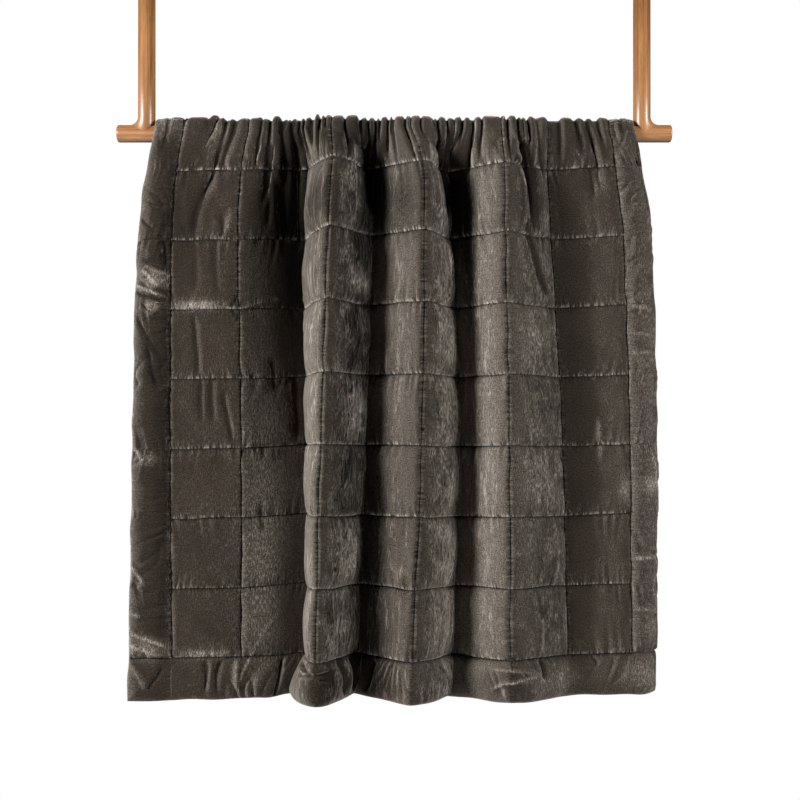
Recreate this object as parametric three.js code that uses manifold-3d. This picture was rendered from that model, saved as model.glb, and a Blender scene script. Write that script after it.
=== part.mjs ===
// A quilted velvet throw draped over a round wooden hanging rail.
//
// Millimetres, +Z up. X runs along the rail, and the long front fall of the throw faces -Y.
// The origin is midway between the flat tops of the two posts that the rail hangs by.
// The throw is five padded cloth pieces sewn edge to edge: a panel quilted in squares, two side
// borders that go over the bar, and a border across each end. All five follow one draped surface,
// which the functions below work out from the throw's sewn lines and how each of them hangs.

import * as THREE from 'three';
import { mergeVertices } from 'three/addons/utils/BufferGeometryUtils.js';
import Module from 'manifold-3d';

// The throw laid flat
const SQUARE = 124.5; // side of a quilted square, seam to seam
const COLUMNS = 9; // squares across
const ROWS = 11; // squares from the front border to the back one
const BORDER = 75; // width of the plain padded border
const SEAM_THICKNESS = 3; // where the layers are sewn through, and at the outer edge
const FACE_LOFT = 5.4; // what the filling adds to the outer face in the middle of a square
const BORDER_LOFT = 9; // and in the middle of a border, which is a plump tube
const BACK_LOFT = 2.4; // what it adds to the inner face, which is flatter
const PINCHED = 0.25; // share of a fold's bulge that the seams across the throw leave
const SEWING_GAP = 0.4; // between two pieces that are sewn together
const BAR_FLATTENED = 0.6; // share of a side border's filling that is pressed out over the bar
const BAR_FLAT_REACH = 70; // length of cloth over which it fills out again

// The rail
const ROD_RADIUS = 15.5; // bar and posts alike
const BAR_LENGTH = 1000;
const POST_SPACING = 895; // centre to centre
const RAIL_DROP = 260; // from the flat tops of the posts down to the middle of the bar
const BAR_END_ROUNDING = 3;
const FILLET = 15; // hollow curve on the outer side of each post's foot
const FOOT_HEIGHT = 6; // how far above the middle of the bar a post's coped foot ends
const JOINT_GAP = 0.3; // between a post's foot and the bar
const ROD_SIDES = 32;
const ROUNDING_STEPS = 3; // along the rounding at the bar's ends
const FILLET_STEPS = 6; // along the hollow curve

// How the throw lies on the bar
const WRAP_RADIUS = 22; // middle of the cloth, from the middle of the bar
const OVER_BAR = 1052.5; // length of cloth from the front hem to the top of the bar
const PLEAT_RISE = 0.05; // how much of a fold's depth stands up over the bar
const FOLD_REACH = 125; // length of cloth over which a fold opens out below the bar
const FOLD_SHARPNESS = 1.6;
const HOLLOW_START = 16; // how far below the middle of the bar the hollows start to go back
const HOLLOW_REACH = 85;
const LIFT_REACH = 90; // length of cloth over which a line's lift comes in

// Distance below the middle of the bar of each level in the table of lines
const LEVELS = { bar: 0, shoulder: 71, chest: 196, middle: 578, foot: 943, hem: 1018 };

// The sewn lines that run from hem to hem, and the two outer edges, from left to right.
// at: how far each line is from the left edge when the throw lies flat.
// bar to hem: its x at each level. fold: how far it stands out in front of the bar's front,
// or behind it if negative, with topFold the same under the bar and footFold at the foot.
// backFold: how far it stands out on the back fall. lift: how much higher it hangs than the left
// side. round: 1 where the cloth turns smoothly at the line, 0 where it turns sharply. bow: how
// far the cloth between this line and the next one bulges out of the flat, and footBow the same
// at the foot.
const LINES = [
  { at: 0, bar: -429, shoulder: -445, chest: -460, middle: -470, foot: -475, hem: -477,
    topFold: -8, fold: -8, footFold: 4, backFold: 8, lift: 0, round: 0, bow: 4, footBow: 4 },
  { at: 75, bar: -377, shoulder: -389, chest: -399, middle: -401, foot: -398, hem: -399,
    topFold: 0, fold: 0, footFold: 0, backFold: 0, lift: 0, round: 1, bow: -6, footBow: 1 },
  { at: 199.5, bar: -260, shoulder: -274, chest: -279, middle: -274, foot: -274, hem: -275,
    topFold: 0, fold: 0, footFold: -2, backFold: 4, lift: 2, round: 1, bow: 0, footBow: 9 },
  { at: 324, bar: -170, shoulder: -154, chest: -163, middle: -158, foot: -154, hem: -185,
    topFold: -28, fold: -52, footFold: -20, backFold: 36, lift: 7, round: 0.05, bow: 8, footBow: 9 },
  { at: 448.5, bar: -111, shoulder: -107, chest: -112, middle: -124, foot: -134, hem: -133,
    topFold: 104, fold: 94, footFold: 96, backFold: 66, lift: 13.5, round: 0.65, bow: 8, footBow: 8 },
  { at: 573, bar: -35, shoulder: -36, chest: -40, middle: -52, foot: -68, hem: -74,
    topFold: -20, fold: 8, footFold: -12, backFold: 14, lift: 8, round: 0.4, bow: -3, footBow: -3 },
  { at: 697.5, bar: 30, shoulder: 50, chest: 52, middle: 48, foot: 32, hem: 29,
    topFold: 84, fold: 74, footFold: 76, backFold: 52, lift: 10, round: 0.5, bow: 9, footBow: 9 },
  { at: 822, bar: 108, shoulder: 98, chest: 102, middle: 117, foot: 103, hem: 96,
    topFold: -34, fold: -18, footFold: -14, backFold: 8, lift: 4, round: 0.4, bow: -3, footBow: -3 },
  { at: 946.5, bar: 191, shoulder: 193, chest: 194, middle: 201, foot: 202, hem: 203,
    topFold: 66, fold: 58, footFold: 58, backFold: 40, lift: 9, round: 0.45, bow: 6, footBow: 5 },
  { at: 1071, bar: 276, shoulder: 274, chest: 280, middle: 302, foot: 309, hem: 306,
    topFold: -14, fold: -12, footFold: -6, backFold: 6, lift: 5, round: 0.9, bow: -4, footBow: -2 },
  { at: 1195.5, bar: 384, shoulder: 397, chest: 410, middle: 423, foot: 425, hem: 425,
    topFold: -4, fold: -4, footFold: 0, backFold: 4, lift: 9.5, round: 1, bow: 4, footBow: 4 },
  { at: 1270.5, bar: 429, shoulder: 446, chest: 462, middle: 472, foot: 469, hem: 468,
    topFold: -20, fold: -20, footFold: -20, backFold: 14, lift: 10.5, round: 0, bow: 0, footBow: 0 },
];

// Small pleats that gather the throw on the bar. at: distance from the left edge of the flat
// throw. width: half the width of the pleat. height: how far it stands up on the bar. run: how far
// down the fall it dies away.
const PLEATS = [
  { at: 30, width: 18, height: 3, run: 110 },
  { at: 137, width: 20, height: 4, run: 150 },
  { at: 183, width: 14, height: 3, run: 120 },
  { at: 262, width: 22, height: 6, run: 140 },
  { at: 370, width: 16, height: 4, run: 110 },
  { at: 527, width: 18, height: 5, run: 120 },
  { at: 635, width: 22, height: 5, run: 140 },
  { at: 760, width: 18, height: 4, run: 110 },
  { at: 884, width: 22, height: 6, run: 120 },
  { at: 1009, width: 18, height: 4, run: 130 },
  { at: 1087, width: 16, height: 3, run: 110 },
  { at: 1133, width: 20, height: 5, run: 150 },
  { at: 1240, width: 18, height: 3, run: 110 },
];

// Where the cloth is divided, as shares of a square or of a border's width
const SQUARE_STEPS = [0, 0.13, 0.37, 0.63, 0.87];
const ROW_STEPS = [0, 0.14, 0.5, 0.86];
const BORDER_STEPS = [0, 0.16, 0.5, 0.84];
const WRAP_STEP = 12; // and in millimetres where it bends over the bar
const WRAP_STEPS = 4; // to each side of the top of the bar
const FACING_STEP = 1.5; // distance over which the slope of the cloth is measured
const SAME_PLACE = 1e-6; // share of a square within which a place counts as a seam
const MERGE_DISTANCE = 1e-4; // between points that are one

const FLAT_WIDTH = 2 * BORDER + COLUMNS * SQUARE;
const FLAT_LENGTH = 2 * BORDER + ROWS * SQUARE;
const QUARTER_WRAP = (Math.PI / 2) * WRAP_RADIUS; // from the top of the bar to its front or back

const VELVET = { color: 0x4a443f, roughness: 0.92, metalness: 0 };
const OAK = { color: 0xc08a56, roughness: 0.55, metalness: 0 };

const mix = (a, b, t) => a + (b - a) * t;
const clamp01 = (t) => Math.min(1, Math.max(0, t));
const smooth = (t) => clamp01(t) ** 2 * (3 - 2 * clamp01(t));

// Value at t of the cubic that starts at a with slope s and ends at b with slope e.
function hermite(a, s, b, e, t) {
  const t2 = t * t;
  const t3 = t2 * t;
  return a * (2 * t3 - 3 * t2 + 1) + s * (t3 - 2 * t2 + t) + b * (3 * t2 - 2 * t3) + e * (t3 - t2);
}

// x of a line at a distance below the bar: a smooth curve through the levels of the table.
function lineX(line, drop) {
  const names = Object.keys(LEVELS);
  const last = names.length - 1;
  let i = 0;
  while (i < last - 1 && drop > LEVELS[names[i + 1]]) i += 1;
  const slope = (k) => {
    const a = names[Math.max(0, k - 1)];
    const b = names[Math.min(last, k + 1)];
    return (line[b] - line[a]) / (LEVELS[b] - LEVELS[a]);
  };
  const span = LEVELS[names[i + 1]] - LEVELS[names[i]];
  const t = clamp01((drop - LEVELS[names[i]]) / span);
  return hermite(line[names[i]], slope(i) * span, line[names[i + 1]], slope(i + 1) * span, t);
}

// How far a fold has opened: one that stands out starts on the bar, and a hollow that goes back
// starts below it.
function opened(depth, drop, run) {
  if (depth < 0) return depth * smooth((drop - HOLLOW_START) / HOLLOW_REACH);
  return depth * (1 - Math.exp(-((run / FOLD_REACH) ** FOLD_SHARPNESS)));
}

// 0 down to the middle level and 1 at the foot.
const nearFoot = (drop) => smooth((drop - LEVELS.middle) / (LEVELS.foot - LEVELS.middle));

// Where a line is at one height of one fall, seen from above: its x, how far it stands out from
// the bar, how much it is lifted, and how high it stands over the bar.
function lineAt(line, drop, run, front) {
  const chest = smooth((drop - LEVELS.shoulder) / (LEVELS.chest - LEVELS.shoulder));
  const aboveFoot = mix(line.topFold, line.fold, chest);
  const depth = front ? mix(aboveFoot, line.footFold, nearFoot(drop)) : line.backFold;
  return {
    x: lineX(line, drop),
    out: opened(depth, drop, run),
    lift: line.lift * smooth(run / LIFT_REACH),
    rise: Math.max(0, line.fold) * PLEAT_RISE,
  };
}

// The share of a square's full bulge that is left at a distance v along the throw: the seams
// across the throw pinch it.
function pinch(v) {
  const t = (v - BORDER) / SQUARE;
  const inSquares = t > 0 && t < ROWS;
  const share = t - Math.floor(t);
  return inSquares ? PINCHED + (1 - PINCHED) * 4 * share * (1 - share) : PINCHED;
}

function pleatHeight(u, run) {
  const over = (sum, p) => sum + p.height * Math.exp(-(((u - p.at) / p.width) ** 2))
    * (1 - smooth(run / p.run));
  return PLEATS.reduce(over, 0);
}

// The middle of the cloth at u across and v along the flat throw, with the bar's middle at 0.
function drape(u, v) {
  const past = OVER_BAR - v;
  const front = past >= 0;
  const run = Math.abs(past);
  const toward = front ? -1 : 1;
  const angle = Math.min(run, QUARTER_WRAP) / WRAP_RADIUS;
  const drop = Math.max(0, run - QUARTER_WRAP);

  let j = 0;
  while (j < LINES.length - 2 && u > LINES[j + 1].at) j += 1;
  const t = clamp01((u - LINES[j].at) / (LINES[j + 1].at - LINES[j].at));
  const here = (k) => lineAt(LINES[Math.min(LINES.length - 1, Math.max(0, k))], drop, run, front);
  const [before, a, b, after] = [here(j - 1), here(j), here(j + 1), here(j + 2)];
  const chord = { x: b.x - a.x, out: b.out - a.out };
  const blend = (key, from, to, line) => mix(chord[key], (to[key] - from[key]) / 2, line.round);
  const across = (key) => hermite(
    a[key], blend(key, before, b, LINES[j]),
    b[key], blend(key, a, after, LINES[j + 1]), t);

  const bow = mix(LINES[j].bow, LINES[j].footBow, nearFoot(drop));
  const bulge = opened(bow, drop, run) * 4 * t * (1 - t) * pinch(v);
  const length = Math.hypot(chord.x, chord.out);
  const rise = mix(a.rise, b.rise, smooth(t)) + pleatHeight(u, run);
  const out = across('out') + (bulge * chord.x) / length + rise * Math.sin(angle);
  return new THREE.Vector3(
    across('x') - (bulge * chord.out) / length,
    toward * (WRAP_RADIUS * Math.sin(angle) + out),
    WRAP_RADIUS * Math.cos(angle) - drop + mix(a.lift, b.lift, t) + rise * Math.cos(angle),
  );
}

// The direction that the outer face of the cloth looks in.
function facing(u, v) {
  const alongU = drape(u + FACING_STEP, v).sub(drape(u - FACING_STEP, v));
  const alongV = drape(u, v + FACING_STEP).sub(drape(u, v - FACING_STEP));
  return alongU.cross(alongV).normalize();
}

// How full the filling is at a distance from the nearest seam or edge: a round pillow.
const fullness = (distance, reach) => Math.sqrt(1 - (1 - clamp01(distance / reach)) ** 2);

// Distances, along a side of the panel or a border, to divide the cloth at.
function divide(start, count, size, steps) {
  const places = [];
  for (let i = 0; i < count; i += 1) {
    for (const share of steps) places.push(start + (i + share) * size);
  }
  places.push(start + count * size);
  return places;
}

// The same along the throw, with close steps over the bar. Seams keep their places.
function divideOverBar(places) {
  const zone = WRAP_STEP * (WRAP_STEPS + 0.5);
  const inSquares = (v) => (v - BORDER) / SQUARE;
  const isSeam = (v) => Math.abs(inSquares(v) - Math.round(inSquares(v))) < SAME_PLACE;
  const kept = places.filter((v) => isSeam(v) || Math.abs(v - OVER_BAR) > zone);
  for (let k = -WRAP_STEPS; k <= WRAP_STEPS; k += 1) kept.push(OVER_BAR + k * WRAP_STEP);
  return kept.sort((a, b) => a - b);
}

// One sewn piece of the throw as a closed padded sheet. across and along are the distances it is
// divided at, sewn says which of its four sides meet another piece, full gives how full it is, and
// faceLoft what the filling adds to its outer face where it is fullest.
function paddedSheet(across, along, sewn, full, faceLoft) {
  const inset = (places, low, high) => places.map((place, i) => {
    if (i === 0 && low) return place + SEWING_GAP / 2;
    if (i === places.length - 1 && high) return place - SEWING_GAP / 2;
    return place;
  });
  const us = inset(across, sewn.left, sewn.right);
  const vs = inset(along, sewn.front, sewn.back);
  const [m, n] = [us.length, vs.length];
  const positions = [];
  for (const [side, loft] of [[1, faceLoft], [-1, BACK_LOFT]]) {
    vs.forEach((v, k) => us.forEach((u, i) => {
      const height = SEAM_THICKNESS / 2 + loft * full(across[i], along[k]);
      const point = drape(u, v).addScaledVector(facing(u, v), side * height);
      positions.push(point.x, point.y, point.z);
    }));
  }
  const outer = (i, k) => k * m + i;
  const inner = (i, k) => m * n + k * m + i;
  const index = [];
  const quad = (a, b, c, d) => index.push(a, b, c, a, c, d);
  for (let k = 0; k < n - 1; k += 1) {
    for (let i = 0; i < m - 1; i += 1) {
      quad(outer(i, k), outer(i + 1, k), outer(i + 1, k + 1), outer(i, k + 1));
      quad(inner(i, k), inner(i, k + 1), inner(i + 1, k + 1), inner(i + 1, k));
    }
    quad(outer(0, k), outer(0, k + 1), inner(0, k + 1), inner(0, k));
    quad(outer(m - 1, k), inner(m - 1, k), inner(m - 1, k + 1), outer(m - 1, k + 1));
  }
  for (let i = 0; i < m - 1; i += 1) {
    quad(outer(i, 0), inner(i, 0), inner(i + 1, 0), outer(i + 1, 0));
    quad(outer(i, n - 1), outer(i + 1, n - 1), inner(i + 1, n - 1), inner(i, n - 1));
  }
  const geometry = new THREE.BufferGeometry();
  geometry.setAttribute('position', new THREE.Float32BufferAttribute(positions, 3));
  geometry.setIndex(index);
  geometry.computeVertexNormals();
  return geometry;
}

// Distance from a place to the nearer end of the square or border that it lies in.
function toSeam(place, start, size, count) {
  const share = (place - start) / size;
  const square = Math.min(count - 1, Math.floor(share));
  return Math.min(share - square, square + 1 - share) * size;
}

function makeThrow() {
  const right = FLAT_WIDTH - BORDER;
  const back = FLAT_LENGTH - BORDER;
  const panelAcross = divide(BORDER, COLUMNS, SQUARE, SQUARE_STEPS);
  const panelAlong = divideOverBar(divide(BORDER, ROWS, SQUARE, ROW_STEPS));
  const leftAcross = divide(0, 1, BORDER, BORDER_STEPS);
  const rightAcross = divide(right, 1, BORDER, BORDER_STEPS);
  const frontAlong = divide(0, 1, BORDER, BORDER_STEPS);
  const backAlong = divide(back, 1, BORDER, BORDER_STEPS);
  const wholeAcross = [...leftAcross.slice(0, -1), ...panelAcross, ...rightAcross.slice(1)];

  const square = (u, v) => fullness(toSeam(u, BORDER, SQUARE, COLUMNS), SQUARE / 2)
    * fullness(toSeam(v, BORDER, SQUARE, ROWS), SQUARE / 2);
  const pressed = (v) => BAR_FLATTENED * Math.exp(-(((v - OVER_BAR) / BAR_FLAT_REACH) ** 2));
  const strip = (u0, u1, v0, v1) => (u, v) => fullness(Math.min(u - u0, u1 - u), BORDER / 2)
    * fullness(Math.min(v - v0, v1 - v), BORDER / 2) * (1 - pressed(v));

  return {
    quilted_panel: paddedSheet(panelAcross, panelAlong,
      { left: true, right: true, front: true, back: true }, square, FACE_LOFT),
    border_left: paddedSheet(leftAcross, panelAlong,
      { left: false, right: true, front: true, back: true }, strip(0, BORDER, BORDER, back),
      BORDER_LOFT),
    border_right: paddedSheet(rightAcross, panelAlong,
      { left: true, right: false, front: true, back: true },
      strip(right, FLAT_WIDTH, BORDER, back), BORDER_LOFT),
    border_front: paddedSheet(wholeAcross, frontAlong,
      { left: false, right: false, front: false, back: true }, strip(0, FLAT_WIDTH, 0, BORDER),
      BORDER_LOFT),
    border_back: paddedSheet(wholeAcross, backAlong,
      { left: false, right: false, front: true, back: false },
      strip(0, FLAT_WIDTH, back, FLAT_LENGTH), BORDER_LOFT),
  };
}

// A round bar along X with softened ends.
function roundBar(radius, length, rounding) {
  const profile = [new THREE.Vector2(0, -length / 2)];
  const corner = (sign) => {
    const arc = [];
    for (let k = 0; k <= ROUNDING_STEPS; k += 1) {
      const a = (k / ROUNDING_STEPS) * (Math.PI / 2);
      arc.push(new THREE.Vector2(
        radius - rounding + rounding * Math.sin(a),
        sign * (length / 2 - rounding + rounding * Math.cos(a))));
    }
    return arc;
  };
  profile.push(...corner(-1), ...corner(1).reverse(), new THREE.Vector2(0, length / 2));
  const bar = new THREE.LatheGeometry(profile, ROD_SIDES);
  return bar.rotateZ(-Math.PI / 2);
}

// A post that stands on the bar: round, with its outer side flared into the bar by a hollow
// curve. It is a stack of level outlines, half circle inside and half ellipse outside.
function postBlank(outward) {
  const levels = [{ z: FOOT_HEIGHT, flare: FILLET }];
  for (let k = 0; k <= FILLET_STEPS; k += 1) {
    const a = (1 - k / FILLET_STEPS) * (Math.PI / 2);
    levels.push({ z: ROD_RADIUS + FILLET * (1 - Math.sin(a)), flare: FILLET * (1 - Math.cos(a)) });
  }
  levels.push({ z: RAIL_DROP, flare: 0 });
  const positions = [];
  const index = [];
  levels.forEach(({ z, flare }, k) => {
    for (let i = 0; i < ROD_SIDES; i += 1) {
      const a = (i / ROD_SIDES) * 2 * Math.PI;
      const stretch = Math.cos(a) * outward > 0 ? (ROD_RADIUS + flare) / ROD_RADIUS : 1;
      positions.push(ROD_RADIUS * Math.cos(a) * stretch, ROD_RADIUS * Math.sin(a), z);
      if (k > 0) {
        const [low, next] = [(k - 1) * ROD_SIDES + i, (k - 1) * ROD_SIDES + ((i + 1) % ROD_SIDES)];
        index.push(low, next, next + ROD_SIDES, low, next + ROD_SIDES, low + ROD_SIDES);
      }
    }
  });
  const top = (levels.length - 1) * ROD_SIDES;
  for (let i = 1; i < ROD_SIDES - 1; i += 1) index.push(0, i + 1, i, top, top + i, top + i + 1);
  const geometry = new THREE.BufferGeometry();
  geometry.setAttribute('position', new THREE.Float32BufferAttribute(positions, 3));
  geometry.setIndex(index);
  return geometry;
}

const wasm = await Module();
wasm.setup();

function toSolid(geometry) {
  const bare = geometry.clone();
  bare.deleteAttribute('normal');
  bare.deleteAttribute('uv');
  const merged = mergeVertices(bare, MERGE_DISTANCE);
  return new wasm.Manifold(new wasm.Mesh({
    numProp: 3,
    vertProperties: new Float32Array(merged.attributes.position.array),
    triVerts: new Uint32Array(merged.index.array),
  }));
}

function toGeometry(solid) {
  const mesh = solid.getMesh();
  const geometry = new THREE.BufferGeometry();
  geometry.setAttribute('position', new THREE.BufferAttribute(mesh.vertProperties, 3));
  geometry.setIndex(new THREE.BufferAttribute(mesh.triVerts, 1));
  geometry.computeVertexNormals();
  return geometry;
}

// A post coped over the bar. outward is -1 on the left and 1 on the right.
function makePost(outward) {
  const cutter = roundBar(ROD_RADIUS + JOINT_GAP, BAR_LENGTH, BAR_END_ROUNDING);
  cutter.translate((-outward * POST_SPACING) / 2, 0, 0);
  return toGeometry(toSolid(postBlank(outward)).subtract(toSolid(cutter)));
}

function addPiece(group, name, geometry, finish, x = 0) {
  const mesh = new THREE.Mesh(geometry, new THREE.MeshStandardMaterial(finish));
  mesh.name = name;
  mesh.position.x = x;
  group.add(mesh);
}

const object = new THREE.Group();

const rail = new THREE.Group();
addPiece(rail, 'rail_bar', roundBar(ROD_RADIUS, BAR_LENGTH, BAR_END_ROUNDING), OAK);
addPiece(rail, 'rail_post_left', makePost(-1), OAK, -POST_SPACING / 2);
addPiece(rail, 'rail_post_right', makePost(1), OAK, POST_SPACING / 2);

const cloth = new THREE.Group();
for (const [name, geometry] of Object.entries(makeThrow())) addPiece(cloth, name, geometry, VELVET);

rail.position.z = -RAIL_DROP;
cloth.position.z = -RAIL_DROP;
object.add(rail, cloth);

export default object;
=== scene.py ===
"""A quilted velvet throw hanging over a round wooden rail."""
import logging
import math
from collections.abc import Callable
from dataclasses import dataclass
from enum import Enum

import bpy
import numpy as np
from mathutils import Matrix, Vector


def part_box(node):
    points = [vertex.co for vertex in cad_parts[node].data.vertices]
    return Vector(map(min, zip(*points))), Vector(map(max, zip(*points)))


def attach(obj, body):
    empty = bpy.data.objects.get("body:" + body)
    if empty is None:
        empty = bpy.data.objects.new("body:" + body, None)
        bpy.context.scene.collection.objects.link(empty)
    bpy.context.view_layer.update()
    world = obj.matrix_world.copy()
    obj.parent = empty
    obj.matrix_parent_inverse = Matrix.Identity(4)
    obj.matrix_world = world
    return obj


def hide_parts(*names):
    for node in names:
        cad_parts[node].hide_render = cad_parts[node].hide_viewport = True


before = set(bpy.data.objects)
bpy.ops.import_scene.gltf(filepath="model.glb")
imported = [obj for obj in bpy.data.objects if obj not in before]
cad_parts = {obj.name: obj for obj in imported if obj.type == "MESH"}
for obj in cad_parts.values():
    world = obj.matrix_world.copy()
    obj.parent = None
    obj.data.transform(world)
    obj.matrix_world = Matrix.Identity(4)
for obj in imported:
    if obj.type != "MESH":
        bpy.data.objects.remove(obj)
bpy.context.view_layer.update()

LOG = logging.getLogger("throw")
MM = 0.001
Array = np.ndarray
Place = tuple[float, float]
Faces = list[tuple[int, ...]]
Socket = bpy.types.NodeSocket
Value = Socket | float


def clamp01(t: Array) -> Array:
    """Limits a value to between 0 and 1."""
    return np.clip(t, 0.0, 1.0)


def smooth(t: Array) -> Array:
    """A soft step from 0 to 1 as t goes from 0 to 1."""
    t = clamp01(t)
    return t * t * (3 - 2 * t)


def mix(a: Array, b: Array, t: Array) -> Array:
    """The value a share t of the way from a to b."""
    return a + (b - a) * t


def hermite(a: Array, s: Array, b: Array, e: Array, t: Array) -> Array:
    """Value at t of the cubic that starts at a with slope s and ends at b with slope e."""
    t2 = t * t
    t3 = t2 * t
    return a * (2 * t3 - 3 * t2 + 1) + s * (t3 - 2 * t2 + t) + b * (3 * t2 - 2 * t3) + e * (t3 - t2)


def linear(hex_colour: str) -> tuple[float, float, float, float]:
    """Turns an sRGB hex colour into the linear values that a shader takes.

    Args:
        hex_colour: Six hex digits.

    Returns:
        Red, green, blue and an alpha of 1.
    """
    parts = [int(hex_colour[i:i + 2], 16) / 255 for i in (0, 2, 4)]
    bent = [c / 12.92 if c <= 0.04045 else ((c + 0.055) / 1.055) ** 2.4 for c in parts]
    return (*bent, 1.0)


class Noise:
    """Smooth seeded noise on a plane, from -1 to 1, with a feature in each unit square."""

    SIZE = 64

    def __init__(self, seed: int) -> None:
        """Draws the values at the corners of the squares."""
        self.table = np.random.default_rng(seed).uniform(-1, 1, (self.SIZE, self.SIZE))

    def __call__(self, x: Array, y: Array) -> Array:
        """The noise at each point."""
        left, low = np.floor(x).astype(int), np.floor(y).astype(int)
        across, up = smooth(x - left), smooth(y - low)

        def corner(i: int, j: int) -> Array:
            """The value at one corner of each point's square."""
            return self.table[(left + i) % self.SIZE, (low + j) % self.SIZE]

        lower = mix(corner(0, 0), corner(1, 0), across)
        upper = mix(corner(0, 1), corner(1, 1), across)
        return mix(lower, upper, up)


@dataclass(frozen=True)
class Pattern:
    """The throw laid flat: squares inside a plain border. Sizes are in metres."""

    square: float = 0.1245
    columns: int = 9
    rows: int = 11
    border: float = 0.075

    @property
    def width(self) -> float:
        """From the left edge to the right one."""
        return self.columns * self.square + 2 * self.border

    @property
    def length(self) -> float:
        """From the front hem to the back one."""
        return self.rows * self.square + 2 * self.border

    def place(self, squares: Array) -> Array:
        """Distance from the edge of a place that is given in squares from the border's seam."""
        return self.border + np.asarray(squares, float) * self.square

    def squares(self, place: Array) -> Array:
        """How many squares a distance from the edge is from the border's seam."""
        return (place - self.border) / self.square


@dataclass(frozen=True)
class SewnLine:
    """How one sewn line that runs from hem to hem hangs. Sizes are in millimetres.

    at is its distance from the left edge of the flat throw, and x its place along the rail at each
    of the levels. fold is how far it stands out in front of the bar, top_fold the same under the
    bar, foot_fold at the foot, and back_fold on the back fall. lift is how much higher it hangs
    than the left side. round is 1 where the cloth turns smoothly at it and 0 where it turns
    sharply. bow is how far the cloth between it and the next line bulges, and foot_bow the same
    at the foot.
    """

    at: float
    x: tuple[float, ...]
    top_fold: float
    fold: float
    foot_fold: float
    back_fold: float
    lift: float
    round: float
    bow: float
    foot_bow: float


LEVELS = (0, 71, 196, 578, 943, 1018)  # millimetres below the middle of the bar
SHOULDER_LEVEL, CHEST_LEVEL, MIDDLE_LEVEL, FOOT_LEVEL = LEVELS[1:5]

LINES = (
    SewnLine(0, (-429, -445, -460, -470, -475, -477), -8, -8, 4, 8, 0, 0, 4, 4),
    SewnLine(75, (-377, -389, -399, -401, -398, -399), 0, 0, 0, 0, 0, 1, -6, 1),
    SewnLine(199.5, (-260, -274, -279, -274, -274, -275), 0, 0, -2, 4, 2, 1, 0, 9),
    SewnLine(324, (-170, -154, -163, -158, -154, -185), -28, -52, -20, 36, 7, 0.05, 8, 9),
    SewnLine(448.5, (-111, -107, -112, -124, -134, -133), 104, 94, 96, 66, 13.5, 0.65, 8, 8),
    SewnLine(573, (-35, -36, -40, -52, -68, -74), -20, 8, -12, 14, 8, 0.4, -3, -3),
    SewnLine(697.5, (30, 50, 52, 48, 32, 29), 84, 74, 76, 52, 10, 0.5, 9, 9),
    SewnLine(822, (108, 98, 102, 117, 103, 96), -34, -18, -14, 8, 4, 0.4, -3, -3),
    SewnLine(946.5, (191, 193, 194, 201, 202, 203), 66, 58, 58, 40, 9, 0.45, 6, 5),
    SewnLine(1071, (276, 274, 280, 302, 309, 306), -14, -12, -6, 6, 5, 0.9, -4, -2),
    SewnLine(1195.5, (384, 397, 410, 423, 425, 425), -4, -4, 0, 4, 9.5, 1, 4, 4),
    SewnLine(1270.5, (429, 446, 462, 472, 469, 468), -20, -20, -20, 14, 10.5, 0, 0, 0),
)


def rows_of(kind: type, table: tuple[tuple[float, ...], ...]) -> tuple:
    """Makes an item from each row, whose first four numbers are its first two fields."""
    return tuple(kind(row[:2], row[2:4], *row[4:]) for row in table)


@dataclass(frozen=True)
class Gather:
    """A groove that gathers the throw on the bar. Sizes are in millimetres.

    top and foot are places in squares, counted from the lower left corner of the panel.
    """

    top: Place
    foot: Place
    depth: float
    width: float

    @property
    def far_end(self) -> Place:
        """Where the groove ends behind the bar, as far past its top as its foot is below it."""
        return (self.top[0], 2 * self.top[1] - self.foot[1])


# Tucks below the bar, which go back through the whole thickness. Each row has the column and row
# of the top, the same of the foot, the depth and the width.
TUCKS = rows_of(Gather, (
    (3.62, 7.50, 3.80, 6.35, 42, 24),
    (5.50, 7.50, 5.66, 6.30, 38, 22),
    (7.42, 7.60, 7.53, 6.20, 34, 11),
    (1.78, 7.60, 1.86, 5.90, 14, 16),
    (0.72, 7.60, 0.50, 6.60, 5, 8),
    (1.30, 7.60, 1.20, 7.00, 5, 7),
    (1.52, 7.60, 1.40, 6.60, 7, 8),
    (2.30, 7.60, 2.22, 7.10, 6, 7),
    (3.30, 7.60, 3.34, 7.10, 6, 6),
    (4.40, 7.60, 4.34, 7.20, 7, 7),
    (4.82, 7.60, 4.88, 7.10, 7, 6),
    (6.45, 7.60, 6.42, 6.90, 10, 9),
    (6.88, 7.60, 6.90, 7.20, 5, 6),
    (8.28, 7.60, 8.50, 7.10, 6, 7),
    (8.62, 7.60, 8.74, 6.70, 6, 6),
))

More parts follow.
